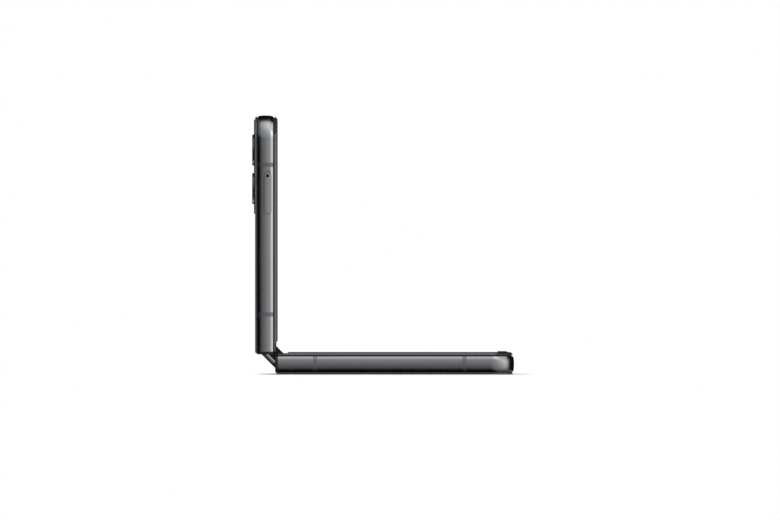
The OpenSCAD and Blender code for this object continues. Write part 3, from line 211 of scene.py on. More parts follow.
corner_light = calculate(nodes, "MULTIPLY", corner_light, fade(slope, (0.8, 1.0), (1, 0)))
level = calculate(nodes, "MAXIMUM", calculate(nodes, "ADD", front_light, edge_light),
                  corner_light)
glow = nodes.new("ShaderNodeEmission")
glow.inputs["Color"].default_value = (1, 1, 1, 1)
link(nodes, calculate(nodes, "MULTIPLY", level, tent_strength), glow.inputs["Strength"])
out = nodes.new("ShaderNodeOutputMaterial")
link(nodes, glow.outputs[0], out.inputs["Surface"])
tent.data.materials.append(cloth)
tent.visible_camera = False
tent.visible_diffuse = False
tent.visible_shadow = False
tent.visible_volume_scatter = False

for name, where, size, power in (
        ("key_light", (0.9, -1.6, 1.1), 0.9, 13),
        ("top_light", (0.1, -0.2, 1.7), 0.7, 3),
        ("side_light", (1.7, -0.2, 0.25), 0.7, 3),
        ("back_light", (-1.3, 1.3, 0.9), 0.8, 9)):
    lamp = bpy.data.lights.new(name, "AREA")
    lamp.shape = "SQUARE"
    lamp.size = size
    lamp.energy = power
    light = bpy.data.objects.new(name, lamp)
    light.location = where
    aim = Vector((0, 0, 0.04)) - Vector(where)
    light.rotation_euler = aim.to_track_quat("-Z", "Y").to_euler()
    light.visible_glossy = False
    bpy.context.collection.objects.link(light)

# ---- Rails of both halves ----
# Each half has one aluminium frame, milled from the solid, blasted to a fine satin and
# anodised dark grey, with a chamfer along its front edge. The chamfer is given a lighter metal
# colour as a painted highlight. The rail colour is painted lighter towards the front as painted
# light, darker on the lower half and near-black just before the hinge as painted shade.
half_length = 82.5
half_width = 36.0
corner_radius = 8.0
rail_front = 6.2
rail_chamfer = 0.75
# Where the lower half's hinge end, the upper half's hinge end and its back lie, in mm
lower_end_x = -41.25
upper_end_z = 6.9341
upper_back_x = -48.1841


def half_of(name):
    return "upper_half" if name.startswith("upper") else "lower_half"


def in_half(half, point):
    """Place in a half drawn flat: along it from the hinge, across, and up from its back."""
    if half == "lower_half":
        return Vector((point[0] / mm - lower_end_x, point[1] / mm, point[2] / mm))
    return Vector((point[2] / mm - upper_end_z, point[1] / mm, point[0] / mm - upper_back_x))


def stand_up(half, obj):
    """Carries a piece that was drawn flat in millimetres to its half."""
    if half == "lower_half":
        matrix = Matrix(((1, 0, 0, lower_end_x), (0, 1, 0, 0), (0, 0, 1, 0), (0, 0, 0, 1)))
    else:
        matrix = Matrix(((0, 0, 1, upper_back_x), (0, 1, 0, 0), (1, 0, 0, upper_end_z),
                         (0, 0, 0, 1)))
    obj.data.transform(Matrix.Scale(mm, 4) @ matrix)
    if half == "upper_half":
        obj.data.flip_normals()


def surface(name, colour, metallic=0.0, roughness=0.5, variation=0.08, grain=9000, bump=0.02,
            coat=0.0, wear=0.0, specular=0.5, painted_light_ramp=None):
    """A finish with fine grain, slow changes of gloss and a little handling wear.

    The last argument gives an axis and the places, in mm, between which the colour is painted
    lighter as painted light; just before the first place it falls to a painted dark shade."""
    material = bpy.data.materials.new(name)
    material.use_nodes = True
    nodes = material.node_tree.nodes
    shader = nodes["Principled BSDF"]
    shader.inputs["Metallic"].default_value = metallic
    shader.inputs["Specular IOR Level"].default_value = specular
    shader.inputs["Coat Weight"].default_value = coat
    shader.inputs["Coat Roughness"].default_value = 0.04
    place = nodes.new("ShaderNodeTexCoord")
    fine = nodes.new("ShaderNodeTexNoise")
    fine.inputs["Scale"].default_value = grain
    fine.inputs["Detail"].default_value = 3
    link(nodes, place.outputs["Object"], fine.inputs["Vector"])
    slow = nodes.new("ShaderNodeTexNoise")
    slow.inputs["Scale"].default_value = 140
    slow.inputs["Detail"].default_value = 5
    slow.inputs["Roughness"].default_value = 0.6
    link(nodes, place.outputs["Object"], slow.inputs["Vector"])
    tone = nodes.new("ShaderNodeMix")
    tone.data_type = "RGBA"
    tone.inputs[6].default_value = [c * (1 - variation) for c in colour] + [1]
    tone.inputs[7].default_value = [min(1, c * (1 + variation)) for c in colour] + [1]
    link(nodes, fine.outputs["Fac"], tone.inputs["Factor"])
    # Painted light and shade: the colour is scaled from 0.72 to 1.26 between the two places and
    # dips to 0.3 just before the first.
    if painted_light_ramp:
        axis, first, last = painted_light_ramp
        parts = nodes.new("ShaderNodeSeparateXYZ")
        link(nodes, place.outputs["Object"], parts.inputs[0])
        lift = nodes.new("ShaderNodeMapRange")
        lift.inputs["From Min"].default_value = first * mm
        lift.inputs["From Max"].default_value = last * mm
        lift.inputs["To Min"].default_value = 0.72
        lift.inputs["To Max"].default_value = 1.26
        link(nodes, parts.outputs[axis], lift.inputs["Value"])
        shade = nodes.new("ShaderNodeMapRange")
        shade.interpolation_type = "SMOOTHSTEP"
        shade.inputs["From Min"].default_value = (first - 1.2) * mm
        shade.inputs["From Max"].default_value = (first + 0.2) * mm
        shade.inputs["To Min"].default_value = 0.3
        shade.inputs["To Max"].default_value = 1
        link(nodes, parts.outputs[axis], shade.inputs["Value"])
        both = calculate(nodes, "MULTIPLY", lift.outputs["Result"], shade.outputs["Result"])
        lifted = nodes.new("ShaderNodeVectorMath")
        lifted.operation = "SCALE"
        link(nodes, tone.outputs[2], lifted.inputs[0])
        link(nodes, both, lifted.inputs["Scale"])
        link(nodes, lifted.outputs[0], shader.inputs["Base Color"])
    else:
        link(nodes, tone.outputs[2], shader.inputs["Base Color"])
    gloss = nodes.new("ShaderNodeMapRange")
    gloss.inputs["From Min"].default_value = 0.3
    gloss.inputs["From Max"].default_value = 0.7
    gloss.inputs["To Min"].default_value = roughness * (1 - 0.12 - wear)
    gloss.inputs["To Max"].default_value = min(1, roughness * (1 + 0.12 + wear))
    link(nodes, slow.outputs["Fac"], gloss.inputs["Value"])
    link(nodes, gloss.outputs["Result"], shader.inputs["Roughness"])
    relief = nodes.new("ShaderNodeBump")
    relief.inputs["Strength"].default_value = bump
    relief.inputs["Distance"].default_value = 0.02 * mm
    link(nodes, fine.outputs["Fac"], relief.inputs["Height"])
    link(nodes, relief.outputs["Normal"], shader.inputs["Normal"])
    return material


def give(obj, material):
    obj.data.materials.clear()
    obj.data.materials.append(material)


def work_on(obj):
    """Makes a piece the active one, and the only one that is selected."""
    deselect()
    obj.select_set(True)
    bpy.context.view_layer.objects.active = obj


def set_smooth(obj, angle=32):
    """Smooth shading that keeps sharp edges, with normals led by the larger faces."""
    work_on(obj)
    bpy.ops.object.shade_smooth_by_angle(angle=math.radians(angle))
    even = obj.modifiers.new("even shading", "WEIGHTED_NORMAL")
    even.keep_sharp = True
    even.weight = 80
    bpy.ops.object.modifier_apply(modifier=even.name)


def from_solid(node, name, edge=0.05, segments=2, sharp=28):
    """A copy of a solid with its faces joined up and its sharp edges broken."""
    obj = bpy.data.objects.new(name, cad[node].data.copy())
    bpy.context.collection.objects.link(obj)
    work_on(obj)
    bpy.ops.object.mode_set(mode="EDIT")
    bpy.ops.mesh.select_all(action="SELECT")
    bpy.ops.mesh.remove_doubles(threshold=0.002 * mm)
    bpy.ops.mesh.dissolve_limited(angle_limit=math.radians(0.3))
    bpy.ops.object.mode_set(mode="OBJECT")
    if edge:
        rounding = obj.modifiers.new("broken edges", "BEVEL")
        rounding.width = edge * mm
        rounding.segments = segments
        rounding.limit_method = "ANGLE"
        rounding.angle_limit = math.radians(sharp)
        rounding.use_clamp_overlap = True
        bpy.ops.object.modifier_apply(modifier=rounding.name)
    set_smooth(obj)
    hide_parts(node)
    return obj


# Painted light and shade on the rails: the lower rail is given a darker colour than the upper as
# painted shade, and each is painted lighter towards its front edge as painted light.
satin_painted_light = {half: surface(half.replace("half", "rail_satin_painted_light"), colour, metallic=1,
                            roughness=0.22, variation=0.1, grain=14000, bump=0.12, wear=0.06,
                            painted_light_ramp=painted_light_ramp)
              for half, colour, painted_light_ramp in (
                  ("lower_half", (0.235, 0.238, 0.245), ("Z", 2, 5.4)),
                  ("upper_half", (0.29, 0.294, 0.302),
                   ("X", upper_back_x + 2, upper_back_x + 5.4)))}
# Depth, in mm, of the near-black painted shade at each rail's hinge end.
hinge_shade_depth = 0.95


def paint_hinge_end_shade(material, axis, hinge_end):
    """Paints the last stretch before the hinge near-black, as painted shade at the fold."""
    nodes = material.node_tree.nodes
    metal = nodes["Principled BSDF"]
    shade_black_shader = nodes.new("ShaderNodeBsdfPrincipled")
    shade_black_shader.inputs["Base Color"].default_value = (0.006, 0.006, 0.007, 1)
    shade_black_shader.inputs["Roughness"].default_value = 0.45
    shade_black_shader.inputs["Specular IOR Level"].default_value = 0.35
    place = nodes.new("ShaderNodeTexCoord")
    parts = nodes.new("ShaderNodeSeparateXYZ")
    link(nodes, place.outputs["Object"], parts.inputs[0])
    in_hinge_shade = calculate(nodes, "LESS_THAN", parts.outputs[axis], (hinge_end + hinge_shade_depth) * mm)
    either = nodes.new("ShaderNodeMixShader")
    link(nodes, in_hinge_shade, either.inputs["Fac"])
    link(nodes, metal.outputs[0], either.inputs[1])
    link(nodes, shade_black_shader.outputs[0], either.inputs[2])
    link(nodes, either.outputs[0], nodes["Material Output"].inputs["Surface"])
    return material


# Painted highlight: the chamfer's lighter metal colour stands in for its highlight, and the lower
# half's is darker as painted shade.
edge_painted_highlight = {half: surface(half.replace("half", "rail_edge_painted_highlight"), colour, metallic=1,
                            roughness=0.16, variation=0.03, grain=30000, bump=0.02)
              for half, colour in (("lower_half", (0.36, 0.364, 0.371)),
                                   ("upper_half", (0.5, 0.505, 0.515)))}
# Each rail's last stretch before the hinge is painted near-black as painted shade.
for finish in (satin_painted_light, edge_painted_highlight):
    paint_hinge_end_shade(finish["lower_half"], "X", lower_end_x)
    paint_hinge_end_shade(finish["upper_half"], "Z", upper_end_z)
for node in ("lower_frame", "upper_frame"):
    half = half_of(node)
    rail = from_solid(node, node.replace("frame", "rail"))
    give(rail, satin_painted_light[half])
    rail.data.materials.append(edge_painted_highlight[half])
    # The chamfer faces along the outer edge take the painted highlight colour.
    for face in rail.data.polygons:
        middle = in_half(half, face.center)
        low = middle.z > rail_front - rail_chamfer - 0.02 and middle.z < rail_front + 0.05
        normal = in_half(half, face.center + face.normal * mm) - middle
        outer = (abs(middle.y) > half_width - 1.1 or middle.x > half_length - 1.1
                 or (middle.x > half_length - 4 and abs(middle.y) > half_width - 4))
        if low and outer and 0.25 < normal.z < 0.97 and middle.x > 0.2:
            face.material_index = 1
    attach(rail, half)

# ---- Antenna bands ----
# Short plastic breaks moulded into the rails, so that the metal works as aerials.
# They are dyed to match the metal and lie flush with it.
band_grey = surface("band_plastic", (0.2, 0.203, 0.21), metallic=1, roughness=0.26, variation=0.05,
                    grain=6000, bump=0.05)
for node in ("lower_antenna_bands", "upper_antenna_bands"):
    bands = from_solid(node, node.replace("bands", "breaks"), edge=0)
    give(bands, band_grey)
    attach(bands, half_of(node))

# ---- Back glasses ----
# Each half's back is a sheet of toughened glass, ground to a curve along its edge, with a
# dark satin film behind it. It is glued down on a black seal that shows as a thin seam.
back_glass = 0.6
glass_inset = 0.45


def pick_edges(obj, test):
    """Selects the edges whose two ends pass a test, in edit mode, and nothing else."""
    bpy.ops.object.mode_set(mode="OBJECT")
    for part in (obj.data.vertices, obj.data.edges, obj.data.polygons):
        for item in part:
            item.select = False
    points = obj.data.vertices
    for line in obj.data.edges:
        line.select = test(points[line.vertices[0]].co, points[line.vertices[1]].co)
    bpy.context.tool_settings.mesh_select_mode = (False, True, False)
    bpy.ops.object.mode_set(mode="EDIT")


def plate(name, low, high, corner, corners_from=None, segments=20):
    """A flat plate drawn in millimetres, with round corners in plan."""
    deselect()
    size = [b - a for a, b in zip(low, high)]
    middle = [(a + b) / 2 for a, b in zip(low, high)]
    bpy.ops.mesh.primitive_cube_add(size=1, location=middle, scale=size)
    obj = bpy.context.object
    obj.name = name
    bpy.ops.object.transform_apply(location=True, rotation=True, scale=True)
    first = low[0] - 1 if corners_from is None else corners_from
    pick_edges(obj, lambda a, b: abs(a.z - b.z) > 0.5 * size[2] and a.x > first)
    bpy.ops.mesh.bevel(offset=corner, segments=segments, affect="EDGES")
    bpy.ops.object.mode_set(mode="OBJECT")
    return obj


def round_outline(obj, level, radius, segments=6):
    """Rounds the outline of a plate where its wall meets the face at a level."""
    pick_edges(obj, lambda a, b: abs(a.z - level) < 1e-4 and abs(b.z - level) < 1e-4)
    bpy.ops.mesh.bevel(offset=radius, segments=segments, affect="EDGES")
    bpy.ops.object.mode_set(mode="OBJECT")


def cut(obj, cutter):
    """Cuts one piece out of another."""
    work_on(obj)
    tool = obj.modifiers.new("cut", "BOOLEAN")
    tool.operation = "DIFFERENCE"
    tool.solver = "EXACT"
    tool.object = cutter
    bpy.ops.object.modifier_apply(modifier=tool.name)
    bpy.data.objects.remove(cutter)


def finish_piece(obj, half, material, slot, *nodes):
    """Stands a piece that was drawn flat on its half, with its finish and what it stands for."""
    stand_up(half, obj)
    set_smooth(obj)
    give(obj, material)
    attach(obj, half)
    if nodes:
        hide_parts(*nodes)


island_low = (half_length - 34.0, -34.3)
island_high = (half_length - 1.4, 34.3)
island_corner = 6.5
island_gap = 0.05
glass_grey = surface("back_glass", (0.07, 0.073, 0.079), metallic=0.25, roughness=0.28,
                     variation=0.12, grain=22000, bump=0.015, coat=0.25, wear=0.05)
for half in ("lower_half", "upper_half"):
    back = plate(half.replace("half", "back_glass"), (0.4, glass_inset - half_width, 0),
                 (half_length - glass_inset, half_width - glass_inset, back_glass),
                 corner_radius - glass_inset, corners_from=40)
    round_outline(back, 0, 0.52, 8)
    round_outline(back, back_glass, 0.06, 2)
    if half == "upper_half":
        opening = plate("opening", (island_low[0] - island_gap, island_low[1] - island_gap, -1),
                        (island_high[0] + island_gap, island_high[1] + island_gap, 2),
                        island_corner + island_gap)
        cut(back, opening)
    finish_piece(back, half, glass_grey, "glass_back", half.replace("half", "back_cover"))
# This black is the seals' own colour, and it also serves as painted shade on the bezels' backs and
# free ends.
seal_and_shade_black = surface("seal_and_shade_black", (0.008, 0.008, 0.009), roughness=0.6, bump=0.05)
for node in ("lower_back_seal", "upper_back_seal"):
    give(cad[node], seal_and_shade_black)

# ---- Raised bezels and bumpers ----
# A soft black plastic frame is glued round each display and stands a little above it. Two
# rubber pads on the lower half keep the bezels from striking each other. The bezel's back and
# the faces at its free end are given a darker black as painted shade.
bezel_black = surface("bezel_black", (0.085, 0.085, 0.088), roughness=0.36, variation=0.15,
                      grain=12000, bump=0.15, wear=0.08)
bezel_back = 6.7
end_facing = 0.2
for node in ("lower_bezel", "upper_bezel"):
    bezel = from_solid(node, node + "_frame", edge=0.06, segments=2)
    give(bezel, bezel_black)
    bezel.data.materials.append(seal_and_shade_black)
    # Faces at the bezel's back and at its free end take the darker black as painted shade.
    for face in bezel.data.polygons:
        outwards = face.normal.x if half_of(node) == "lower_half" else face.normal.z
        if in_half(half_of(node), face.center).z < bezel_back + 0.01 or outwards > end_facing:
            face.material_index = 1
    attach(bezel, half_of(node))
rubber = surface("bumper_rubber", (0.006, 0.006, 0.0065), roughness=0.7, variation=0.2,
                 grain=8000, bump=0.2, specular=0.2)
pads = from_solid("lower_bumpers", "bumper_pads", edge=0.18, segments=4, sharp=50)
give(pads, rubber)
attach(pads, "lower_half")

# ---- Inner display ----
# One folding panel is laminated to a steel plate in each half. Switched off, it is a black
# mirror under a thin clear film. Its middle is free to bend, and a spring plate carries it.
spine_origin = Vector((-39.078, 0, 9.106))
tilt = math.radians(45)
fold_radius = 3.566
fold_centre = 1.076
fold_half_width = 32.45
panel_thickness = 0.6
panel_front = 6.6


def lay_flat(half, obj):
    """The reverse of stand_up, for a copied solid."""
    if half == "lower_half":
        matrix = Matrix(((1, 0, 0, -lower_end_x), (0, 1, 0, 0), (0, 0, 1, 0), (0, 0, 0, 1)))
    else:
        matrix = Matrix(((0, 0, 1, -upper_end_z), (0, 1, 0, 0), (1, 0, 0, -upper_back_x),
                         (0, 0, 0, 1)))
        obj.data.flip_normals()
    obj.data.transform(matrix @ Matrix.Scale(1 / mm, 4))


def in_spine(x, y, z):
    """Place of a point of the spine, drawn flat, in metres."""
    return Vector((spine_origin.x + x * math.cos(tilt) + z * math.sin(tilt), y,
                   spine_origin.z - x * math.sin(tilt) + z * math.cos(tilt))) * mm


def fold_line(x):
    """Height of the middle of the panel's thickness across the fold, at rest."""
    reach = fold_radius * math.sin(tilt)
    if abs(x) > reach:
        return fold_centre - fold_radius * math.cos(tilt) + abs(x) - reach
    return fold_centre - math.sqrt(fold_radius ** 2 - x ** 2)


def ribbon(name, line, half_width, thickness):
    """A bent strip: a line of points drawn out across the fold and given its thickness."""
    deselect()
    bpy.ops.mesh.primitive_plane_add(size=0.01, location=(line[0][0], -half_width, line[0][1]))
    strip = bpy.context.object
    strip.name = name
    bpy.ops.object.transform_apply(location=True, rotation=True, scale=True)
    bpy.context.tool_settings.mesh_select_mode = (True, False, False)
    bpy.ops.object.mode_set(mode="EDIT")
    bpy.ops.mesh.select_all(action="SELECT")
    bpy.ops.mesh.merge(type="CENTER")
    for a, b in zip(line, line[1:]):
        bpy.ops.mesh.extrude_vertices_move(
            TRANSFORM_OT_translate={"value": (b[0] - a[0], 0, b[1] - a[1])})
    bpy.ops.mesh.select_all(action="SELECT")
    bpy.ops.mesh.extrude_edges_move(TRANSFORM_OT_translate={"value": (0, 2 * half_width, 0)})
    bpy.ops.mesh.select_all(action="SELECT")
    bpy.ops.mesh.normals_make_consistent(inside=False)
    bpy.ops.object.mode_set(mode="OBJECT")
    wall = strip.modifiers.new("thickness", "SOLIDIFY")
    wall.thickness = thickness
    wall.offset = 0
    wall.use_even_offset = True
    bpy.ops.object.modifier_apply(modifier=wall.name)
    for point in strip.data.vertices:
        point.co = in_spine(*point.co)
    work_on(strip)
    bpy.ops.object.mode_set(mode="EDIT")
    bpy.ops.mesh.select_all(action="SELECT")
    bpy.ops.mesh.normals_make_consistent(inside=False)
    bpy.ops.object.mode_set(mode="OBJECT")
    set_smooth(strip, 40)
    return strip


screen_black = surface("screen_black", (0.004, 0.004, 0.005), roughness=0.06, variation=0.1,
                       grain=400, bump=0.0, wear=0.25)
free_from = 3.894
for node in ("lower_display", "upper_display"):
    half = half_of(node)
    panel = from_solid(node, node.replace("display", "panel"), edge=0)
    lay_flat(half, panel)
    for point in panel.data.vertices:
        if point.co.x < free_from:
            point.co.x = free_from
    work_on(panel)
    pick_edges(panel, lambda a, b: min(a.z, b.z) > panel_front - 0.01 and max(a.x, b.x) > 4)
    bpy.ops.mesh.bevel(offset=0.12, segments=4, affect="EDGES")
    bpy.ops.object.mode_set(mode="OBJECT")
    finish_piece(panel, half, screen_black, "display")
fold_black = surface("screen_fold_black", (0.004, 0.004, 0.005), roughness=0.17, variation=0.1,
                     grain=400, bump=0.0, wear=0.1, specular=0.2)
# Places across the fold, in mm from its middle: where the loose sheet leaves the panel, where
# it passes to the spine, and between which it passes on to the spring plate.
loop_side = 3.2
loop_middle = 2.6
side_steps = 10
middle_steps = 28
for side, half in ((1, "lower_half"), (-1, "upper_half")):
    line = [(side * x, fold_line(x)) for x in
            [loop_side + (loop_middle - loop_side) * i / side_steps
             for i in range(side_steps + 1)]]
    strip = ribbon(half.replace("half", "display_bend"), line, fold_half_width,
                   panel_thickness)
    give(strip, fold_black)
    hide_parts("fold_display")
    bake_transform(strip)
    line = [(side * x, fold_line(x)) for x in
            [loop_middle * (1 - i / middle_steps) for i in range(middle_steps + 1)]]
    strip = ribbon(half.replace("half", "display_crease"), line, fold_half_width,
                   panel_thickness)
    give(strip, fold_black)
    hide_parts("fold_display")
    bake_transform(strip)

# ---- Spine cover and end caps ----
# A channel pressed from aluminium closes the back of the hinge, anodised like the rails and
# rounded over at its ends, where its rounded faces take the caps' black as painted shade. Black
# moulded caps fill its ends and hide the mechanism, and a slim lip along each end of the channel
# is given a very light metal colour as a painted highlight.
spine_half = 34.05
axis_spacing = 3.1
axis_drop = 2.0
spine_radius = 4.4


def on_spine_outline(point):
    """True on the outer outline of an end of the spine."""
    x = (point / mm - spine_origin)
    flat = x.x * math.cos(tilt) - x.z * math.sin(tilt)
    up = x.x * math.sin(tilt) + x.z * math.cos(tilt) + axis_drop
    if abs(x.y) < spine_half - 0.01:
        return False
    across = max(abs(flat) - axis_spacing, 0)
    return up < 0 and abs(math.hypot(across, up) - spine_radius) < 0.03


spine_grey = surface("spine_satin", (0.19, 0.193, 0.2), metallic=1, roughness=0.27,
                     variation=0.08, grain=14000, bump=0.06, wear=0.06)
cap_and_shade_black = surface("cap_and_shade_black", (0.005, 0.005, 0.0055), roughness=0.55, variation=0.2,
                    grain=9000, bump=0.1, specular=0.25)
cover = from_solid("spine_cover", "spine_shell", edge=0)
pick_edges(cover, lambda a, b: on_spine_outline(a) and on_spine_outline(b))
bpy.ops.mesh.bevel(offset=0.5 * mm, segments=6, affect="EDGES")
bpy.ops.object.mode_set(mode="OBJECT")
set_smooth(cover, 35)
give(cover, spine_grey)
cover.data.materials.append(cap_and_shade_black)
# Faces at the cover's rounded ends take the caps' black as painted shade.
for face in cover.data.polygons:
    if abs(face.normal.y) > 0.12 and abs(face.center.y) > (spine_half - 0.55) * mm:
        face.material_index = 1
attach(cover, "spine")
caps = from_solid("hinge_end_caps", "spine_end_caps", edge=0.08, segments=3)
give(caps, cap_and_shade_black)
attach(caps, "spine")
# The lip's very light metal colour is a painted highlight.
lip_painted_highlight = surface("spine_lip_painted_highlight", (0.85, 0.855, 0.865), metallic=1, roughness=0.2,
                     variation=0.05, grain=20000, bump=0.03)
lip_width = 1.15
lip_inner = -4.72
lip_depth = 0.11
lip_root = 0.02
lips = []
for side in (-1, 1):
    deselect()
    bpy.ops.mesh.primitive_cube_add(
        size=1, location=(-0.15, side * spine_half, lip_inner - lip_width / 2),
        scale=(4.1, lip_width * 2, lip_width))
    lip = bpy.context.object
    bpy.ops.object.transform_apply(location=True, rotation=True, scale=True)
    pick_edges(lip, lambda a, b: max(a.z, b.z) < lip_inner - lip_width / 2
               and abs(a.x - b.x) > 1 and abs(a.y) > spine_half)
    bpy.ops.mesh.bevel(offset=lip_width * 0.98, segments=10, affect="EDGES")
    bpy.ops.object.mode_set(mode="OBJECT")
    for point in lip.data.vertices:
        down = (lip_inner - point.co.z) / lip_width
        raised = abs(point.co.y) > spine_half - 0.01
        point.co.y = side * (spine_half + lip_depth * (1 - down ** 2) if raised
                             else spine_half - lip_root)
    lips.append(lip)
deselect()
for lip in lips:
    lip.select_set(True)
bpy.context.view_layer.objects.active = lips[0]
bpy.ops.object.join()
lips[0].name = "spine_end_lips"
for point in lips[0].data.vertices:
    point.co = in_spine(*point.co)
set_smooth(lips[0], 30)
give(lips[0], lip_painted_highlight)
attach(lips[0], "spine")

# ---- Camera glass ----
# A raised sheet of black glass covers the two rear cameras, the flash and the small outer
# display. It is ground and polished, with holes drilled for the metal lens rings.
island_height = 0.37
lens_places = ((half_length - 11.7, 25.4), (half_length - 25.1, 25.4))
flash_place = (half_length - 18.4, 17.2)


def turned(name, places, profile, steps=96, closed=False):
    """Round pieces, each spun from a section given as radii and heights."""
    made = []
    for x, y in places:
        deselect()
        bpy.ops.mesh.primitive_plane_add(size=0.01, location=(x + profile[0][0], y, profile[0][1]))
        piece = bpy.context.object
        bpy.ops.object.transform_apply(location=True, rotation=True, scale=True)
        bpy.context.tool_settings.mesh_select_mode = (True, False, False)
        bpy.ops.object.mode_set(mode="EDIT")
        bpy.ops.mesh.select_all(action="SELECT")
        bpy.ops.mesh.merge(type="CENTER")
        ends = list(profile) + ([profile[0]] if closed else [])
        for a, b in zip(ends, ends[1:]):
            bpy.ops.mesh.extrude_vertices_move(
                TRANSFORM_OT_translate={"value": (b[0] - a[0], 0, b[1] - a[1])})
        bpy.ops.mesh.select_all(action="SELECT")
        bpy.ops.mesh.spin(steps=steps, angle=math.tau, center=(x, y, 0), axis=(0, 0, 1))
        bpy.ops.mesh.select_all(action="SELECT")
        bpy.ops.mesh.remove_doubles(threshold=0.002)
        bpy.ops.mesh.normals_make_consistent(inside=False)
        bpy.ops.object.mode_set(mode="OBJECT")
        made.append(piece)
    deselect()
    for piece in made:
        piece.select_set(True)
    bpy.context.view_layer.objects.active = made[0]
    if len(made) > 1:
        bpy.ops.object.join()
    made[0].name = name
    return made[0]


camera_black = surface("camera_glass_black", (0.003, 0.003, 0.0035), roughness=0.05,
                       variation=0.1, grain=500, bump=0.0, wear=0.2, specular=0.2)
island = plate("camera_window", (island_low[0], island_low[1], -island_height),
               (island_high[0], island_high[1], back_glass), island_corner)
round_outline(island, -island_height, 0.22, 6)
cut(island, turned("drill", lens_places, ((0, -2), (4.9, -2), (4.9, 2), (0, 2))))
cut(island, turned("drill", (flash_place,), ((0, -2), (1.75, -2), (1.75, 2), (0, 2))))
finish_piece(island, "upper_half", camera_black, "camera_glass", "camera_glass")

# ---- Lens rings and lenses ----
# Each camera has a collar turned from stainless steel, polished and chamfered, with a flat
# sapphire window sunk in it. Below the window stand the black barrel and its coated lens.
ring_metal = surface("lens_ring_steel", (0.13, 0.132, 0.137), metallic=1, roughness=0.3,
                     variation=0.05, grain=20000, bump=0.02, wear=0.05)
ring_base = -island_height
ring_top = ring_base - 0.96
ring = turned("lens_collars", lens_places, (
    (4.85, ring_base + 0.7), (4.85, ring_base), (5.4, ring_base), (5.4, ring_top + 0.3),
    (5.36, ring_top + 0.18), (5.27, ring_top + 0.06), (5.15, ring_top), (4.8, ring_top),
    (4.72, ring_top + 0.05), (4.7, ring_top + 0.55), (4.2, ring_top + 0.55),
    (4.2, ring_base + 0.7)), steps=128, closed=True)
finish_piece(ring, "upper_half", ring_metal, "ring", "lens_rings")
window_glass = bpy.data.materials.new("lens_window")
window_glass.use_nodes = True
nodes = window_glass.node_tree.nodes
nodes.remove(nodes["Principled BSDF"])
clear = nodes.new("ShaderNodeBsdfTransparent")
clear.inputs["Color"].default_value = (0.86, 0.9, 0.96, 1)
mirror = nodes.new("ShaderNodeBsdfGlossy")
mirror.inputs["Color"].default_value = (0.8, 0.85, 1, 1)
facing = nodes.new("ShaderNodeFresnel")
facing.inputs["IOR"].default_value = 1.35
place = nodes.new("ShaderNodeTexCoord")
smudge = nodes.new("ShaderNodeTexNoise")
smudge.inputs["Scale"].default_value = 300
link(nodes, place.outputs["Object"], smudge.inputs["Vector"])
gloss = nodes.new("ShaderNodeMapRange")
gloss.inputs["From Min"].default_value = 0.45
gloss.inputs["To Min"].default_value = 0.02
gloss.inputs["To Max"].default_value = 0.08
link(nodes, smudge.outputs["Fac"], gloss.inputs["Value"])
link(nodes, gloss.outputs["Result"], mirror.inputs["Roughness"])
either = nodes.new("ShaderNodeMixShader")
link(nodes, facing.outputs[0], either.inputs["Fac"])
link(nodes, clear.outputs[0], either.inputs[1])
link(nodes, mirror.outputs[0], either.inputs[2])
link(nodes, either.outputs[0], nodes["Material Output"].inputs["Surface"])
cover_top = ring_top + 0.15
window = turned("lens_windows", lens_places, (
    (0, cover_top), (4.55, cover_top), (4.67, cover_top + 0.1), (4.67, cover_top + 0.4),
    (0, cover_top + 0.4)))
finish_piece(window, "upper_half", window_glass, "lens", "lens_covers")
barrel_black = surface("barrel_black", (0.006, 0.006, 0.007), roughness=0.35, variation=0.3,
                       grain=5000, bump=0.05)
barrel = turned("lens_barrels", lens_places, (
    (4.15, ring_top + 0.62), (3.7, ring_top + 0.62), (3.6, ring_top + 0.72),
    (3.0, ring_top + 0.76), (2.9, ring_top + 0.9), (2.3, ring_top + 0.95),
    (2.2, ring_top + 1.15), (1.75, ring_top + 1.2), (1.7, ring_top + 1.6),
    (4.15, ring_top + 1.6)), closed=True)
finish_piece(barrel, "upper_half", barrel_black, "lens")
coating = surface("lens_coating", (0.05, 0.02, 0.09), metallic=0.6, roughness=0.04,
                  variation=0.3, grain=200, bump=0.0, coat=1.0)
eye = turned("lens_eyes", lens_places, (
    (0, ring_top + 1.0), (0.5, ring_top + 1.03), (1.0, ring_top + 1.1), (1.4, ring_top + 1.22),
    (1.72, ring_top + 1.36), (1.72, ring_top + 1.55), (0, ring_top + 1.55)))
finish_piece(eye, "upper_half", coating, "lens")
flash_white = surface("flash_lens", (0.75, 0.7, 0.52), roughness=0.18, variation=0.1,
                      grain=3000, bump=0.05, coat=0.6)
rings = []
for i in range(7):
    rings += [(1.6 - i * 0.22, -island_height + 0.05), (1.5 - i * 0.22, -island_height + 0.13)]
flash = turned("flash_window", (flash_place,), [(0, 0.4), (1.7, 0.4), (1.7, -island_height + 0.05)]
               + rings + [(0, -island_height + 0.13)])
finish_piece(flash, "upper_half", flash_white, "flash", "flash_lens")

# ---- Keys and card tray ----
# The volume rocker, the power key and the face of the card tray are milled from the same
# aluminium as the rails, blasted and anodised with them, and sit in slots with even gaps.
for node, name in (("volume_rocker", "volume_key"), ("power_key", "side_key"),
                   ("card_tray", "card_drawer")):
    part = from_solid(node, name, edge=0.07, segments=3)
    # The keys and tray take the upper rail's colour, with its painted light and shade.
    give(part, satin_painted_light["upper_half"])
    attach(part, node)

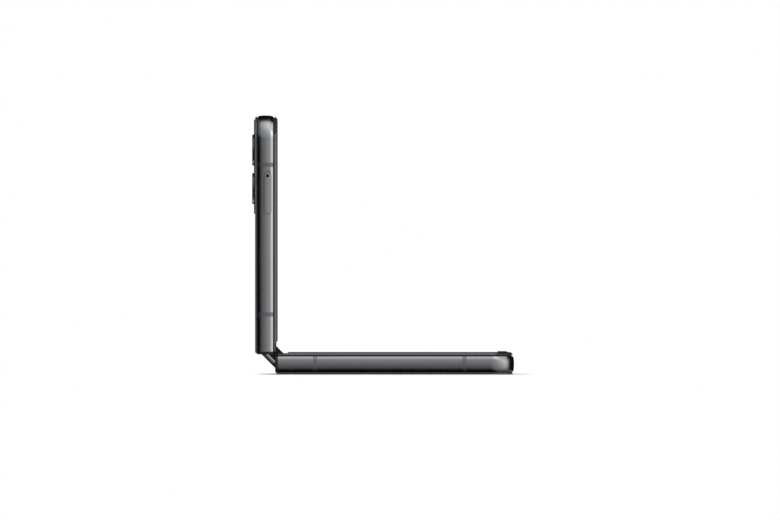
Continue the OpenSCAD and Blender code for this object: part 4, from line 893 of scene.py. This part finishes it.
# ---- Charging socket ----
# A drawn steel shell is pressed into the end of the lower rail. A black moulded tongue
# stands in it and carries gold contacts on both faces.
shell_steel = surface("socket_steel", (0.5, 0.5, 0.51), metallic=1, roughness=0.3,
                      variation=0.05, grain=9000, bump=0.04)
shell = from_solid("usb_shell", "socket_shell", edge=0.06, segments=3)
give(shell, shell_steel)
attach(shell, "lower_half")
tongue = from_solid("usb_tongue", "socket_tongue", edge=0.08, segments=3)
give(tongue, bezel_black)
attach(tongue, "lower_half")
contact_gold = surface("contact_gold", (0.9, 0.62, 0.24), metallic=1, roughness=0.22,
                       variation=0.06, grain=9000, bump=0.03)
contacts = []
for i in range(12):
    for face in (-1, 1):
        y = (i - 5.5) * 0.5
        pad = plate("contact", (77.6, y - 0.13, 3.6 + face * 0.36 - 0.02),
                    (80.4, y + 0.13, 3.6 + face * 0.36 + 0.02), 0.05, segments=3)
        contacts.append(pad)
deselect()
for pad in contacts:
    pad.select_set(True)
bpy.context.view_layer.objects.active = contacts[0]
bpy.ops.object.join()
contacts[0].name = "socket_contacts"
finish_piece(contacts[0], "lower_half", contact_gold, "gold")

# ---- Flexible cable ----
# A flat printed cable joins the boards of the two halves. It hangs in an oval loop inside
# the spine and passes through a window into each half.
mouth = (4.867, 0.696)
tail = (11.4, 7.2)
def cable_line(side):
    """Half of the loop, from its lowest point to the end of its tail."""
    turn_steps = 20
    loop = [(side * mouth[0] * math.sin(math.radians(90 * i / turn_steps)),
             mouth[1] - (mouth[1] - loop_low) * math.cos(math.radians(90 * i / turn_steps)))
            for i in range(turn_steps + 1)]
    return loop + [(side * tail[0], tail[1])]


loop_low = -5.6
cable_amber = surface("cable_amber", (0.42, 0.2, 0.06), roughness=0.38, variation=0.2,
                      grain=6000, bump=0.05, coat=0.3)
for side, half in ((1, "lower_half"), (-1, "upper_half")):
    cable = ribbon(half.replace("half", "flex_tail"), cable_line(side), 3.5, 0.2)
    give(cable, cable_amber)
    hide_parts("flex_cable")
    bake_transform(cable)

# ---- Hinge mechanism ----
# Steel brackets, arc rotators and hinge plates are metal-injection moulded and ground where
# they slide. The sliders, followers and guide rods are bronze, and the springs are steel wire.
hinge_steel = surface("hinge_steel", (0.42, 0.42, 0.43), metallic=1, roughness=0.38,
                      variation=0.12, grain=7000, bump=0.12, wear=0.1)
spring_steel = surface("spring_steel", (0.3, 0.3, 0.32), metallic=1, roughness=0.28,
                       variation=0.1, grain=9000, bump=0.05)
bronze = surface("bearing_bronze", (0.5, 0.33, 0.14), metallic=1, roughness=0.35,
                 variation=0.15, grain=7000, bump=0.08)
for node in ("lower_hinge_plates", "upper_hinge_plates", "lower_rotators", "upper_rotators",
             "hinge_brackets", "fold_plate", "lower_support_plate", "upper_support_plate"):
    give(cad[node], hinge_steel)
for node in ("lower_screws", "upper_screws", "spine_screws", "torque_springs"):
    give(cad[node], spring_steel)
for node in ("front_timing_slider", "rear_timing_slider", "cam_followers", "spring_guides"):
    give(cad[node], bronze)

# ---- Boards, cells and modules ----
# Everything that the halves hold between their display and back glass: glass-fibre boards,
# foil-wrapped cells, pressed steel shields, moulded speakers and a wound copper coil.
foil_black = surface("cell_foil", (0.03, 0.03, 0.034), metallic=0.2, roughness=0.45,
                     variation=0.2, grain=3000, bump=0.1)
board_green = surface("board_green", (0.015, 0.09, 0.05), roughness=0.4, variation=0.3,
                      grain=2500, bump=0.1, coat=0.2)
module_black = surface("module_black", (0.015, 0.015, 0.016), roughness=0.5, variation=0.2,
                       grain=6000, bump=0.1)
coil_copper = surface("coil_copper", (0.75, 0.36, 0.18), metallic=1, roughness=0.35,
                      variation=0.12, grain=5000, bump=0.1)
for node in ("lower_battery", "upper_battery"):
    give(cad[node], foil_black)
for node in ("lower_board", "main_board"):
    give(cad[node], board_green)
for node in ("loudspeaker", "earpiece", "camera_modules", "front_camera", "cover_display"):
    give(cad[node], module_black)
for node in ("board_shields", "card_reader", "key_switches", "vibration_motor"):
    give(cad[node], shell_steel)
give(cad["charging_coil"], coil_copper)
